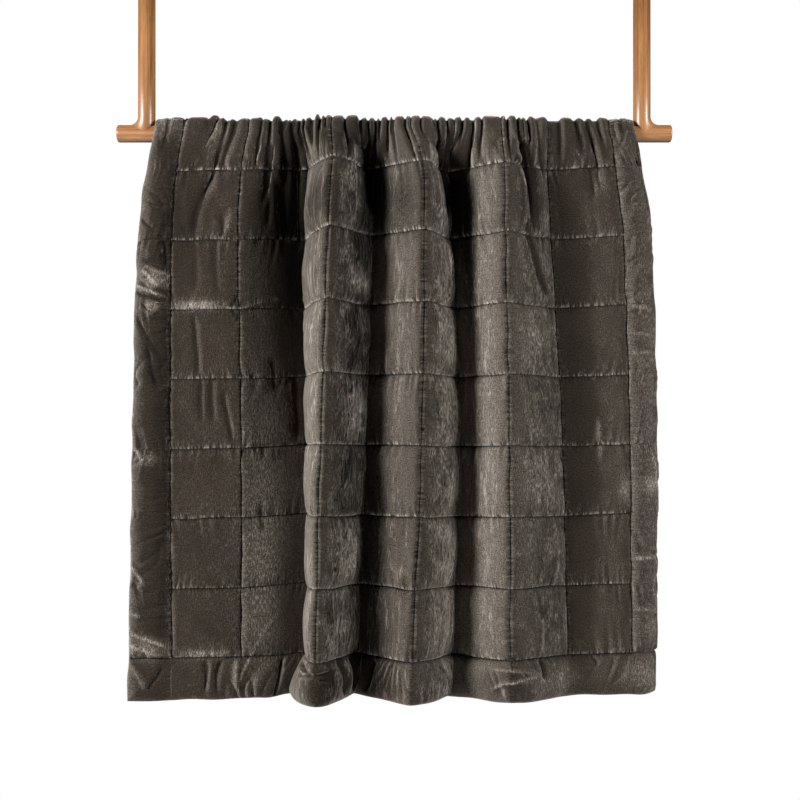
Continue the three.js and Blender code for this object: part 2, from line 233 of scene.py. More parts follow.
# Grooves in the outer face alone, which go on over the bar, in the same order
GATHERS = rows_of(Gather, (
    (-0.25, 7.9, -0.3, 7.3, 1.5, 5),
    (0.42, 7.9, 0.40, 7.6, 3, 4),
    (0.70, 7.9, 0.60, 6.9, 8, 5),
    (0.90, 7.9, 0.70, 7.0, 6, 5),
    (1.32, 7.9, 1.18, 7.1, 4, 4),
    (1.50, 7.9, 1.34, 6.6, 8, 5),
    (1.66, 7.9, 1.62, 6.1, 7, 5),
    (1.84, 7.9, 1.84, 6.7, 6, 4),
    (2.02, 7.9, 2.02, 6.5, 6, 4),
    (2.22, 7.9, 2.14, 7.2, 5, 4),
    (2.45, 7.9, 2.42, 7.3, 4, 4),
    (2.72, 7.9, 2.62, 7.1, 6, 4),
    (3.28, 7.9, 3.32, 7.05, 6, 4),
    (3.62, 7.9, 3.66, 7.4, 5, 4),
    (3.80, 7.9, 3.86, 7.0, 7, 4),
    (4.03, 7.9, 4.05, 7.1, 5, 4),
    (4.18, 7.9, 4.14, 7.4, 6, 4),
    (4.40, 7.9, 4.36, 7.4, 5, 4),
    (4.57, 7.9, 4.46, 7.4, 5, 4),
    (4.80, 7.9, 4.88, 7.1, 7, 4),
    (5.28, 7.9, 5.20, 7.4, 4, 4),
    (5.60, 7.9, 5.62, 7.0, 6, 5),
    (5.80, 7.9, 5.84, 7.3, 5, 4),
    (6.20, 7.9, 6.16, 7.4, 5, 4),
    (6.42, 7.9, 6.40, 7.0, 7, 4),
    (6.62, 7.9, 6.58, 7.1, 5, 4),
    (7.16, 7.9, 7.10, 7.1, 6, 4),
    (7.34, 7.9, 7.36, 6.9, 6, 5),
    (7.58, 7.9, 7.60, 7.4, 3, 4),
    (8.10, 7.9, 8.20, 7.1, 5, 5),
    (8.28, 7.9, 8.52, 7.2, 6, 5),
    (8.42, 7.9, 8.72, 7.0, 6, 5),
    (8.70, 7.9, 8.82, 7.3, 4, 4),
    (9.20, 7.9, 9.22, 7.5, 2, 5),
))


@dataclass(frozen=True)
class Crease:
    """A crease in the velvet, placed by (column, row) in squares. Sizes are in millimetres.

    height is negative for a trough. bow is how far its middle lies to the left of a straight line.
    shine is how much lighter the pile on it is painted, a painted highlight along it; where it is 0,
    that follows from the height: a painted highlight on a ridge and painted shade in a trough.
    """

    start: Place
    end: Place
    height: float
    width: float
    bow: float = 0.0
    shine: float = 0.0


# Column and row of the start, the same of the end, height, width, bow and shine
CREASES = rows_of(Crease, (
    (0.62, 6.95, 0.36, 6.05, -3, 7, -6),
    (0.20, 6.80, 0.26, 6.20, 1.5, 10),
    (0.76, 6.35, 0.76, 6.02, -3, 5, 2),
    (0.92, 6.40, 0.82, 6.05, 2, 4, 0, 0.3),
    (0.40, 5.95, 0.40, 5.3, -1.2, 7),
    (0.66, 5.98, 0.70, 5.2, -1.5, 6),
    (0.36, 4.90, 0.42, 4.02, -3, 5, 2),
    (0.46, 3.98, 0.47, 3.4, -3, 5),
    (0.60, 3.98, 0.62, 3.4, -3, 5),
    (0.76, 3.80, 0.88, 3.04, -3, 4),
    (1.00, 5.20, 0.88, 5.03, -3, 2.5),
    (0.88, 4.99, 1.00, 4.82, -3, 2.5),
    (1.02, 5.0, 1.75, 5.18, 1, 2, 0, 0.4),
    (1.44, 4.25, 1.48, 3.78, -3, 5),
    (1.28, 3.0, 1.30, 2.84, -2.5, 4),
    (1.26, 2.15, 1.30, 1.8, -2.5, 4),
    (1.52, 6.9, 1.66, 6.1, -4, 6),
    (1.40, 6.2, 1.44, 6.6, -2, 4),
    (1.78, 4.0, 1.82, 3.1, -4, 8),
    (1.45, 0.55, 1.15, 0.05, 1.2, 2, 0, 0.5),
    (1.15, 0.05, 0.98, -0.5, 1.2, 2, 0, 0.7),
    (3.15, 1.72, 3.62, 1.55, 2, 3, 4, 0.6),
    (3.30, 1.50, 3.60, 1.66, 2, 3, 0, 0.6),
    (3.72, 1.62, 3.66, 1.06, 2.5, 3, 3, 0.9),
    (3.0, 0.58, 3.34, 0.44, 2, 3, 0, 0.5),
    (2.40, -0.10, 3.30, -0.14, -7, 3.5, -5),
    (2.60, -0.22, 3.20, -0.26, -6, 3.5, 5),
    (2.50, -0.16, 3.10, -0.20, 3, 3, -4, 0.6),
    (3.50, -0.02, 3.58, -0.5, -9, 5),
    (3.80, -0.02, 3.82, -0.5, -8, 5),
    (4.10, -0.02, 4.05, -0.5, -6, 4, 3),
    (4.36, -0.05, 4.26, -0.5, -6, 4, 3),
    (4.55, 1.3, 4.95, 1.2, 1.5, 3, 2, 0.3),
    (5.05, 3.42, 5.30, 3.38, -2.5, 2.5),
    (5.05, 3.34, 5.25, 3.32, 2, 2.5, 0, 0.4),
    (5.66, 5.9, 5.62, 5.1, 2.5, 3, -3, 0.8),
    (5.78, 5.8, 5.76, 5.1, 2, 3, 2, 0.7),
    (5.70, 4.9, 5.58, 4.4, 2, 3, 0, 0.6),
    (5.72, 1.8, 5.66, 1.0, 2.5, 3, 5, 0.8),
    (5.80, 0.9, 5.72, 0.1, 2.5, 3, 4, 0.8),
    (6.70, 1.55, 7.20, 1.46, 2, 3, 3, 0.3),
    (6.72, 0.62, 7.22, 0.48, 2.5, 3, 0, 0.3),
    (6.80, 0.3, 7.0, 0.2, 1.5, 3, 2, 0.3),
    (7.46, 6.0, 7.76, 5.2, -7, 6, -4),
    (7.24, 7.5, 7.34, 6.1, 3, 4, 3),
    (7.30, 3.26, 7.40, 2.74, 2, 3, 2, 0.5),
    (7.50, 3.18, 7.62, 2.7, 2, 3, 2, 0.5),
    (7.48, 0.5, 7.44, 0.02, 2, 3, 3, 0.4),
    (7.80, 1.5, 7.72, 1.02, 2.5, 3, 3, 0.8),
    (8.52, 3.36, 8.56, 2.8, 1.5, 3, 0, 0.5),
    (8.60, 7.02, 8.63, 6.6, -4, 4),
    (8.1, 6.98, 8.16, 6.75, -3, 3),
    (6.75, -0.12, 7.30, -0.2, 2.5, 3, 3, 0.5),
    (6.80, -0.38, 7.28, -0.25, 3, 3, 3, 0.7),
    (7.45, -0.02, 7.50, -0.28, -3, 4),
    (8.35, -0.02, 8.45, -0.14, -3, 3),
    (0.5, -0.05, 0.5, -0.45, -3.5, 5, 3),
    (0.72, -0.04, 0.66, -0.5, -3.5, 5, -3),
    (0.95, -0.02, 0.95, -0.45, 3.5, 5),
    (1.58, -0.04, 1.60, -0.56, -6, 4),
    (-0.56, 5.36, -0.06, 5.18, 3.5, 2.5, 0, 1.6),
    (-0.56, 5.27, -0.10, 5.10, -3.5, 2.5),
    (-0.36, 5.46, -0.10, 5.40, -2.5, 2.5, 2),
    (-0.40, 5.08, -0.12, 4.92, -2.5, 2.5, -3),
    (-0.50, 6.30, -0.20, 6.10, -1.5, 4),
    (-0.10, 6.0, -0.05, 5.60, -3, 3),
    (-0.40, 5.56, -0.16, 5.36, 2, 3, 0, 1.4),
    (-0.34, 5.62, -0.08, 5.50, 1.5, 3, 0, 0.8),
    (-0.52, 3.0, -0.36, 2.82, 2, 4, 3, 1.0),
    (-0.5, 4.9, -0.1, 4.3, -3, 6),
    (-0.3, 4.5, -0.15, 3.9, -3, 5, -3),
    (-0.58, 1.36, -0.34, 1.06, 2.5, 3, 0, 0.9),
    (-0.56, 0.66, -0.40, 0.60, 2, 3, 0, 0.8),
    (-0.56, 0.38, -0.06, 0.18, 3, 3, 0, 1.1),
    (-0.58, 0.20, -0.14, 0.04, 3, 3, 0, 1.0),
    (-0.5, -0.12, -0.3, -0.42, 2.5, 4, 3, 0.3),
    (-0.1, -0.1, -0.3, -0.4, -3, 4, 3),
    (9.05, 4.98, 9.40, 4.90, 2, 4, 0, 0.4),
    (9.05, 4.58, 9.45, 4.52, 2, 4, 0, 0.4),
    (9.05, 4.30, 9.35, 4.28, 2, 4, 0, 0.3),
    (9.06, 1.36, 9.40, 1.36, 3, 4, 0, 0.8),
    (9.06, 0.64, 9.40, 0.62, 2, 4, 0, 0.5),
    (9.30, 2.9, 9.46, 2.2, 2, 4, 0, 0.8),
))


@dataclass(frozen=True)
class CrushedOrPaintedPatch:
    """A patch of crushed pile and painted light: its middle and half size in squares, and how bright it is.

    shine is negative for a patch of painted shade, where the cloth lies in shade.
    """

    middle: Place
    reach: Place
    shine: float


# Patches of crushed pile and painted light, and of painted shade where shine is negative
# Column and row of the middle, half size across and along, and shine
CRUSHED_OR_PAINTED_PATCHES = rows_of(CrushedOrPaintedPatch, (
    (1.30, 1.8, 0.36, 2.2, 0.50),
    (1.65, 1.0, 0.30, 1.5, -0.18),
    (2.60, 6.4, 0.50, 0.6, -0.60),
    (2.55, 5.4, 0.40, 0.5, -0.28),
    (4.15, 1.5, 0.25, 2.2, -0.45),
    (4.50, 1.2, 0.40, 1.6, -0.22),
    (4.45, 0.3, 0.40, 0.6, -0.25),
    (4.50, -0.35, 0.5, 0.3, -0.60),
    (6.34, 3.2, 0.14, 3.6, -0.32),
    (6.38, 6.1, 0.16, 1.1, -0.60),
    (1.78, 5.9, 0.30, 2.0, -1.0),
    (6.55, 3.0, 0.45, 4.2, 0.22),
    (4.55, 3.0, 0.45, 4.2, -0.04),
    (4.12, 6.8, 0.20, 0.7, -0.9),
    (6.15, 6.6, 0.24, 0.8, -0.9),
    (3.92, 6.6, 0.14, 0.6, -0.9),
    (5.92, 6.3, 0.12, 0.9, -0.8),
    (0.18, 6.4, 0.28, 0.8, -0.35),
    (3.76, 6.0, 0.24, 1.7, -0.6),
    (5.82, 6.6, 0.28, 0.7, -0.7),
    (7.22, 2.8, 0.24, 3.0, 0.12),
    (7.60, 3.0, 0.40, 4.0, -0.10),
    (-0.35, 4.0, 0.30, 4.5, -0.15),
    (2.90, -0.35, 0.8, 0.3, -0.30),
    (4.60, 6.50, 0.35, 0.6, -0.34),
    (1.50, 6.50, 0.35, 0.6, -0.30),
    (7.50, 6.60, 0.25, 0.6, -0.50),
    (3.00, 7.45, 1.0, 0.35, -0.30),
    (3.60, 3.2, 0.40, 4.2, -0.46),
    (6.60, -0.35, 0.8, 0.3, -0.25),
    (9.30, 3.5, 0.24, 4.0, 0.25),
    (-0.12, 3.4, 0.13, 4.0, -0.35),
    (8.28, 4.0, 0.24, 3.5, -0.20),
    (0.40, 5.05, 0.32, 0.07, 1.2),
    (0.45, 0.05, 0.35, 0.07, 0.9),
    (-0.20, 5.42, 0.16, 0.14, 1.2),
    (-0.24, 5.04, 0.14, 0.13, 0.9),
    (-0.22, 2.86, 0.16, 0.14, 0.5),
    (-0.30, 0.15, 0.28, 0.18, 0.6),
    (3.70, 5.30, 0.24, 0.26, 0.8),
    (3.62, 3.50, 0.25, 0.40, 0.6),
    (3.60, 1.40, 0.25, 0.45, 0.7),
    (5.60, 4.5, 0.28, 0.4, 0.6),
    (5.62, 1.3, 0.20, 0.5, 0.8),
    (5.55, 0.4, 0.3, 0.35, 0.5),
    (7.45, 4.6, 0.35, 0.4, 0.35),
    (7.55, 2.5, 0.4, 0.5, 0.35),
    (8.90, 2.35, 0.12, 0.2, 0.5),
    (9.3, 2.4, 0.14, 0.14, 0.7),
    (9.35, 0.35, 0.2, 0.25, 0.4),
    (9.2, -0.3, 0.35, 0.25, 0.5),
    (0.60, 7.5, 0.12, 0.3, 0.5),
    (-0.3, 7.7, 0.3, 0.25, 0.6),
    (7.7, -0.35, 0.5, 0.2, 0.4),
    (4.9, -0.3, 0.4, 0.25, 0.15),
))


@dataclass(frozen=True)
class Wrap:
    """How the throw lies on the bar. Sizes are in metres.

    middle is the height of the bar's axis, radius how far from it the middle of the cloth is, and
    over_bar the distance from the front hem to the top of the bar. A fold stands pleat_rise times
    its depth over the bar. It opens over fold_reach, a hollow over hollow_reach from hollow_start
    on, and a line gets its lift over lift_reach. pinched is the share of a bulge that a seam leaves.
    """

    middle: float
    radius: float = 0.022
    over_bar: float = 1.0525
    pleat_rise: float = 0.05
    fold_reach: float = 0.125
    fold_sharpness: float = 1.6
    hollow_start: float = 0.016
    hollow_reach: float = 0.085
    lift_reach: float = 0.090
    pinched: float = 0.25

    @property
    def quarter(self) -> float:
        """Length of cloth from the top of the bar to its front or back."""
        return math.pi / 2 * self.radius


def between(drop: Array, start: float, end: float) -> Array:
    """A soft step from one level to another, both in millimetres below the middle of the bar."""
    return smooth((drop - start * MM) / ((end - start) * MM))


PAST_END = 0.12  # share of its length by which a soft line runs on past each end
TAPER = 0.3  # share of its length over which it fades in there
LINE_EDGE = 1.4  # power of its fall-off: at 1 its crest is sharp, at 2 it is round


def line_profile(p: Pattern, u: Array, v: Array, start: Place, end: Place, width: float,
                 bow: float = 0) -> Array:
    """A soft line between two (column, row) places: 1 on it, 0 far from it.

    Args:
        p: The throw laid flat.
        u: Distance from the left edge of the flat throw.
        v: Distance from its front hem.
        start: Where the line starts, in squares.
        end: Where it ends.
        width: Half its width in millimetres.
        bow: How far its middle lies off a straight line, in millimetres.

    Returns:
        The profile at each place.
    """
    a = np.array([p.place(start[0]), p.place(start[1])])
    b = np.array([p.place(end[0]), p.place(end[1])])
    length = float(np.linalg.norm(b - a))
    along = (b - a) / length
    du, dv = u - a[0], v - a[1]
    s = (du * along[0] + dv * along[1]) / length
    off = dv * along[0] - du * along[1] - bow * MM * 4 * s * (1 - s)
    taper = smooth((s + PAST_END) / TAPER) * smooth((1 + PAST_END - s) / TAPER)
    return np.exp(-(np.abs(off) / (width * MM)) ** LINE_EDGE) * taper


@dataclass
class Drape:
    """The middle surface of the hanging throw, as a function of places on the flat one.

    Sizes are in metres. Below the last seam the folds are fully open after hem_opens, a share of a
    square. The tucks start bar_clear below the middle of the bar. The seams waver by waver_reach to
    each side, and by upward_share of that up and down.
    """

    pattern: Pattern
    wrap: Wrap
    hem_opens: float = 0.35
    bar_clear: float = 20 * MM
    slope_step: float = 1.5 * MM
    waver_reach: float = 1.6 * MM
    upward_share: float = 0.8
    waver_size: tuple[float, float] = (38 * MM, 105 * MM)

    def __post_init__(self) -> None:
        """Turns the table of sewn lines into arrays."""
        self.waver = Noise(15)

        def column(name: str) -> Array:
            """One column of the table of sewn lines."""
            return np.array([getattr(line, name) for line in LINES], float)

        self.at, self.fold, self.foot_fold = (column(n) * MM for n in ("at", "fold", "foot_fold"))
        self.back_fold, self.lift, self.bow = (column(n) * MM for n in ("back_fold", "lift", "bow"))
        self.top_fold, self.foot_bow = (column(n) * MM for n in ("top_fold", "foot_bow"))
        self.round = column("round")
        self.x = column("x") * MM
        self.levels = np.array(LEVELS, float) * MM
        last = len(self.levels) - 1
        ends = [(max(0, k - 1), min(last, k + 1)) for k in range(last + 1)]
        self.slope = np.stack(
            [(self.x[:, b] - self.x[:, a]) / (self.levels[b] - self.levels[a]) for a, b in ends], axis=1)

    def opened(self, depth: Array, drop: Array, run: Array) -> Array:
        """How far a fold has opened: one that stands out starts on the bar, a hollow below it."""
        wrap = self.wrap
        hollow = depth * smooth((drop - wrap.hollow_start) / wrap.hollow_reach)
        ridge = depth * (1 - np.exp(-((run / wrap.fold_reach) ** wrap.fold_sharpness)))
        return np.where(depth < 0, hollow, ridge)

    def line_at(self, k: Array, drop: Array, run: Array, front: Array) -> dict[str, Array]:
        """Where sewn line k is at one height of one fall.

        Args:
            k: Number of the line, which is held within the table.
            drop: Distance below the middle of the bar.
            run: Length of cloth from the top of the bar.
            front: True on the front fall.

        Returns:
            Its x, how far it stands out, its lift, and how high it stands over the bar.
        """
        k = np.clip(k, 0, len(LINES) - 1)
        low = np.clip(np.searchsorted(self.levels, drop, side="right") - 1, 0, len(self.levels) - 2)
        span = self.levels[low + 1] - self.levels[low]
        t = clamp01((drop - self.levels[low]) / span)
        before_foot = mix(self.top_fold[k], self.fold[k], between(drop, SHOULDER_LEVEL, CHEST_LEVEL))
        in_front = mix(before_foot, self.foot_fold[k], between(drop, MIDDLE_LEVEL, FOOT_LEVEL))
        depth = np.where(front, in_front, self.back_fold[k])
        return {
            "x": hermite(self.x[k, low], self.slope[k, low] * span,
                         self.x[k, low + 1], self.slope[k, low + 1] * span, t),
            "out": self.opened(depth, drop, run),
            "lift": self.lift[k] * smooth(run / self.wrap.lift_reach),
            "rise": np.maximum(0, self.fold[k]) * self.wrap.pleat_rise,
        }

    def pinch(self, v: Array) -> Array:
        """The share of the full bulge that the seams across the throw leave at v.

        Below the last seam the folds open again toward the hem.
        """
        t = self.pattern.squares(v)
        share = t - np.floor(t)
        full = np.where(t < 0, clamp01(-t / self.hem_opens), 4 * share * (1 - share))
        return self.wrap.pinched + (1 - self.wrap.pinched) * np.where(t < self.pattern.rows, full, 0)

    def tucked(self, u: Array, v: Array) -> Array:
        """How far the tucks of the table go back."""
        depth = np.zeros_like(u)
        for t in TUCKS:
            depth += t.depth * MM * line_profile(self.pattern, u, v, t.foot, t.top, t.width)
        return depth

    def place(self, u: Array, v: Array) -> Array:
        """The middle of the cloth.

        Args:
            u: Distance from the left edge of the flat throw.
            v: Distance from its front hem, in an array of the same shape.

        Returns:
            Points in the row frame, with the axes last.
        """
        wrap = self.wrap
        front = v <= wrap.over_bar
        run = np.abs(wrap.over_bar - v)
        toward = np.where(front, -1.0, 1.0)
        angle = np.minimum(run, wrap.quarter) / wrap.radius
        drop = np.maximum(0, run - wrap.quarter)
        j = np.clip(np.searchsorted(self.at, u, side="left") - 1, 0, len(LINES) - 2)
        t = clamp01((u - self.at[j]) / (self.at[j + 1] - self.at[j]))
        before, a, b, after = (self.line_at(j + k, drop, run, front) for k in (-1, 0, 1, 2))
        chord = {key: b[key] - a[key] for key in ("x", "out")}

        def across(key: str) -> Array:
            """One coordinate along the curve between the two lines."""
            start = mix(chord[key], (b[key] - before[key]) / 2, self.round[j])
            end = mix(chord[key], (after[key] - a[key]) / 2, self.round[j + 1])
            return hermite(a[key], start, b[key], end, t)

        bow = mix(self.bow[j], self.foot_bow[j], between(drop, MIDDLE_LEVEL, FOOT_LEVEL))
        in_squares = (j > 0) & (j < len(LINES) - 2)
        bulge = self.opened(bow, drop, run) * 4 * t * (1 - t) * np.where(in_squares, self.pinch(v), 1)
        length = np.hypot(chord["x"], chord["out"])
        rise = mix(a["rise"], b["rise"], smooth(t))
        out = across("out") + bulge * chord["x"] / length + rise * np.sin(angle)
        height = wrap.radius * np.cos(angle) - drop + mix(a["lift"], b["lift"], t)
        below_bar = smooth((drop - self.bar_clear) / self.bar_clear)
        out = out - np.where(front, self.tucked(u, v), 0) * below_bar
        short, long = self.waver_size
        loose = smooth(run / wrap.lift_reach)
        sideways = self.waver_reach * self.waver(v / short, u / long) * loose
        upward = self.upward_share * self.waver_reach * self.waver(u / short + 17, v / long) * loose
        return np.stack([
            across("x") - bulge * chord["out"] / length + sideways,
            toward * (wrap.radius * np.sin(angle) + out),
            wrap.middle + height + rise * np.cos(angle) + upward,
        ], axis=-1)

    def facing(self, u: Array, v: Array) -> Array:
        """The direction that the outer face looks in at each place."""
        step = self.slope_step
        along_u = self.place(u + step, v) - self.place(u - step, v)
        along_v = self.place(u, v + step) - self.place(u, v - step)
        normal = np.cross(along_u, along_v)
        return normal / np.linalg.norm(normal, axis=-1, keepdims=True)


@dataclass(frozen=True)
class Puckers:
    """The small wrinkles that stand off a seam. Sizes are in metres.

    reach is how far they stand off it, and rise how soon they start. upright_share is how strong
    they are at the seams that run from hem to hem. patch is the size of the stretches of a seam
    where they are strong or weak.
    """

    spacing: float = 0.0085
    reach: float = 0.014
    height: float = 0.0036
    rise: float = 0.002
    lean: float = 0.45
    lean_size: float = 0.07
    patch: float = 0.05
    sharpness: float = 2.2
    upright_share: float = 0.6


@dataclass
class Relief:
    """How far the velvet stands out of the middle of the cloth: filling, puckers and creases.

    Sizes are in metres. over_bar is the distance from the front hem to the top of the bar, and
    deepest how far below a seam's level a crease may press. Creases have their full height where
    the filling has full_share of its loft. crease_shade is how much painted light a millimetre of a
    crease's height gives the pile on it: a painted highlight on a ridge and painted shade in a
    trough, up to most_shade. gather_shade is the painted shade in each gather's groove. The other
    numbers added to a place in a call of a noise only keep one pattern apart from another.
    """

    pattern: Pattern
    over_bar: float
    puckers: Puckers
    face_loft: float = 6.6 * MM
    border_loft: float = 13 * MM
    seam_half: float = 0.9 * MM
    deepest: float = -0.4 * MM
    pillow_reach: float = 58 * MM
    edge_reach: float = 13 * MM
    edge_share: float = 0.62
    border_edge_share: float = 0.15
    bar_flattened: float = 0.6
    bar_flat_reach: float = 70 * MM
    uneven: float = 0.9 * MM
    uneven_size: float = 55 * MM
    edge_fade: float = 6 * MM
    full_share: float = 0.55
    crease_gain: float = 1.8
    crease_shade: float = 0.14
    most_shade: float = 0.32
    shine_width: float = 0.8
    crush_edge: float = 1.4
    gather_shade: float = 0.9
    gather_shade_width: float = 0.7
    wrinkle: float = 4.2 * MM
    wrinkle_spacing: float = 17 * MM
    wrinkle_lean: float = 0.9
    wrinkle_rise: float = 20 * MM
    gather_gain: float = 1.4
    gather_height: float = 5.0 * MM
    gather_spacing: float = 19 * MM
    gather_shift: float = 9 * MM
    gather_lean: float = 0.45
    gather_start: float = 20 * MM
    gather_run: float = 120 * MM
    border_gathers: float = 0.4

    def __post_init__(self) -> None:
        """Seeds the noise."""
        self.wrinkles = Noise(11)
        self.strength = Noise(12)
        self.lumps = Noise(13)
        self.border_wrinkles = Noise(14)

    def pillow(self, distance: Array, reach: float, edge_share: float) -> Array:
        """How full the filling is: it swells fast beside a seam or edge, then slowly."""
        slow, fast = (np.sqrt(1 - (1 - clamp01(distance / size)) ** 2) for size in (reach, self.edge_reach))
        return mix(slow, fast, edge_share)

    def patchy(self, x: Array, y: Array, share: float = 0.5, swing: float = 0.9) -> Array:
        """How strong wrinkles are from place to place, from 0 to 1.

        Args:
            x: One coordinate of the place, in units of the patches' size.
            y: The other one.
            share: How much of the cloth has wrinkles.
            swing: How suddenly they start.

        Returns:
            Their strength.
        """
        return smooth(share + swing * self.strength(x, y))

    def to_seam(self, share: Array, count: int) -> Array:
        """Distance to the nearest seam of the squares."""
        cell = np.clip(np.floor(share), 0, count - 1)
        return np.minimum(share - cell, cell + 1 - share) * self.pattern.square

    def filling(self, u: Array, v: Array) -> Array:
        """The height of the filling, which is none at a seam or an edge."""
        p = self.pattern
        columns, rows = p.squares(u), p.squares(v)
        in_columns = (columns >= 0) & (columns <= p.columns)
        in_rows = (rows >= 0) & (rows <= p.rows)
        across = self.pillow(self.to_seam(columns, p.columns), self.pillow_reach, self.edge_share)
        along = self.pillow(self.to_seam(rows, p.rows), self.pillow_reach, self.edge_share)
        squares = self.face_loft * across * along
        half = p.border / 2
        to_side = half - np.abs(np.minimum(u, p.width - u) - half)
        to_end = half - np.abs(np.minimum(v, p.length - v) - half)
        sides = np.minimum(to_side, np.minimum(v - p.border, p.length - p.border - v))
        ends = np.minimum(to_end, np.minimum(u, p.width - u))
        inward = np.maximum(0, np.where(in_rows, sides, ends))
        pressed = self.bar_flattened * np.exp(-(((v - self.over_bar) / self.bar_flat_reach) ** 2))
        borders = self.border_loft * self.pillow(inward, half, self.border_edge_share) * (1 - pressed)
        return np.where(in_columns & in_rows, squares, borders)

    def seam_puckers(self, along: Array, across: Array, count: int, seed: float) -> Array:
        """Ridges that stand off each of a set of parallel seams, and lean as they leave it.

        Args:
            along: Distance along the seams.
            across: Distance across them, in squares from the first.
            count: How many squares the seams divide.
            seed: Sets this family of seams apart from the others.

        Returns:
            The height of the ridges.
        """
        size = self.pattern.square
        nearest = np.clip(np.round(across), 0, count)
        signed = (across - nearest) * size
        away = np.abs(signed)
        side = np.where(signed < 0, 0.0, 31.7)
        row = nearest * 7.31 + seed + side
        kind = self.puckers
        lean = self.strength(along / kind.lean_size, row + 3.1) * kind.lean
        wave = self.wrinkles((along + lean * away) / kind.spacing, row)
        sharp = 1 - np.abs(wave) * kind.sharpness
        local = self.patchy(along / kind.patch, row)
        reach = kind.reach * (0.5 + local)
        fade = np.exp(-away / reach) * (1 - np.exp(-away / kind.rise))
        return kind.height * sharp * local * fade

    def gathers(self, u: Array, v: Array) -> Array:
        """The grooves on the bar, which are deepest over it and end at their foot."""
        depth = np.zeros_like(u)
        for g in GATHERS:
            profile = line_profile(self.pattern, u, v, g.foot, g.far_end, g.width)
            depth += self.gather_gain * g.depth * MM * profile
        return -depth

    def fine_gathers(self, u: Array, v: Array) -> Array:
        """Narrow uneven folds that lie over the bar and die away under it."""
        run = np.abs(v - self.over_bar)
        lean = self.strength(u / 0.10, 3.3) * self.gather_lean
        place = u + lean * run + self.gather_shift * self.strength(u / 0.025, 40.7)
        crest = 2 * np.sqrt(np.abs(self.wrinkles(place / self.gather_spacing, run / 0.16 + 21))) - 1.4
        local = 1.3 * self.patchy(u / 0.035, run / 0.07 + 9, 0.42, 1.7)
        fade = 1 - smooth((run - self.gather_start) / self.gather_run)
        return self.gather_height * crest * local * fade

    def creases(self, u: Array, v: Array) -> Array:
        """The creases of the table."""
        height = np.zeros_like(u)
        for c in CREASES:
            height += c.height * MM * line_profile(self.pattern, u, v, c.start, c.end, c.width, c.bow)
        return self.crease_gain * height

    def edge_wrinkles(self, u: Array, v: Array) -> Array:
        """Wrinkles that cross the plain borders."""
        p = self.pattern
        side = np.minimum(u, p.width - u) < p.border
        along = np.where(side, v, u)
        across = np.where(side, np.minimum(u, p.width - u), np.minimum(v, p.length - v))
        in_border = across < p.border
        lean = self.strength(along / 0.09, across / 0.2 + 5.5) * self.wrinkle_lean
        place = (along + lean * across) / self.wrinkle_spacing
        wave = self.border_wrinkles(place, across / 0.05 + side * 9.3)
        bent = 1.6 * np.sqrt(np.abs(wave)) - 1
        strength = self.patchy(along / 0.06 + 11.3, side * 5.0 + across / 0.09)
        raised = self.wrinkle * bent * strength * self.pillow(p.border - across, self.wrinkle_rise, 0)
        return np.where(in_border, raised, 0)

    def height(self, u: Array, v: Array) -> Array:
        """How far the outer face stands out of the middle of the cloth.

        Args:
            u: Distance from the left edge of the flat throw.
            v: Distance from its front hem.

        Returns:
            The height in metres, which is only half the seam's thickness at a seam.
        """
        p = self.pattern
        filling = self.filling(u, v)
        fade = clamp01(filling / (self.face_loft * self.full_share))
        lumps = self.uneven * self.lumps(u / self.uneven_size, v / self.uneven_size)
        columns, rows = p.squares(u), p.squares(v)
        in_rows = (rows >= 0) & (rows <= p.rows)
        in_columns = (columns >= 0) & (columns <= p.columns)
        level = np.where(in_rows, self.seam_puckers(u, rows, p.rows, 0.0), 0)
        upright = np.where(in_rows, self.seam_puckers(v, columns, p.columns, 57.0), 0)
        loose = level + self.puckers.upright_share * upright + self.edge_wrinkles(u, v)
        to_edge = np.minimum(np.minimum(u, p.width - u), np.minimum(v, p.length - v))
        gathered = np.where(in_columns, 1.0, self.border_gathers) * self.fine_gathers(u, v)
        drawn = self.gathers(u, v) + gathered + self.creases(u, v)
        raised = filling + lumps * fade + loose * clamp01(to_edge / self.edge_fade) + drawn * fade
        return self.seam_half + np.maximum(raised, self.deepest)

    def shine(self, u: Array, v: Array) -> Array:
        """How much lighter the pile is painted at each place, for crushed pile and painted light, and how
        much darker, for painted shade.
        """
        p = self.pattern
        total = np.zeros_like(u)
        # Painted highlights on the creases' ridges and painted shade in their troughs, unless a crease has
        # its own shine
        for c in CREASES:
            shade = min(max(self.crease_shade * c.height, -self.most_shade), self.most_shade)
            profile = line_profile(p, u, v, c.start, c.end, self.shine_width * c.width, c.bow)
            total += (c.shine or shade) * profile
        # Painted shade in the grooves of the gathers
        for g in GATHERS:
            profile = line_profile(p, u, v, g.foot, g.far_end, self.gather_shade_width * g.width)
            total -= self.gather_shade * profile
        columns, rows = p.squares(u), p.squares(v)
        # Patches of crushed pile and painted light, and of painted shade where the shine is negative
        for c in CRUSHED_OR_PAINTED_PATCHES:
            away = ((columns - c.middle[0]) / c.reach[0]) ** 2 + ((rows - c.middle[1]) / c.reach[1]) ** 2
            total += c.shine * np.exp(-away * self.crush_edge)
        return total


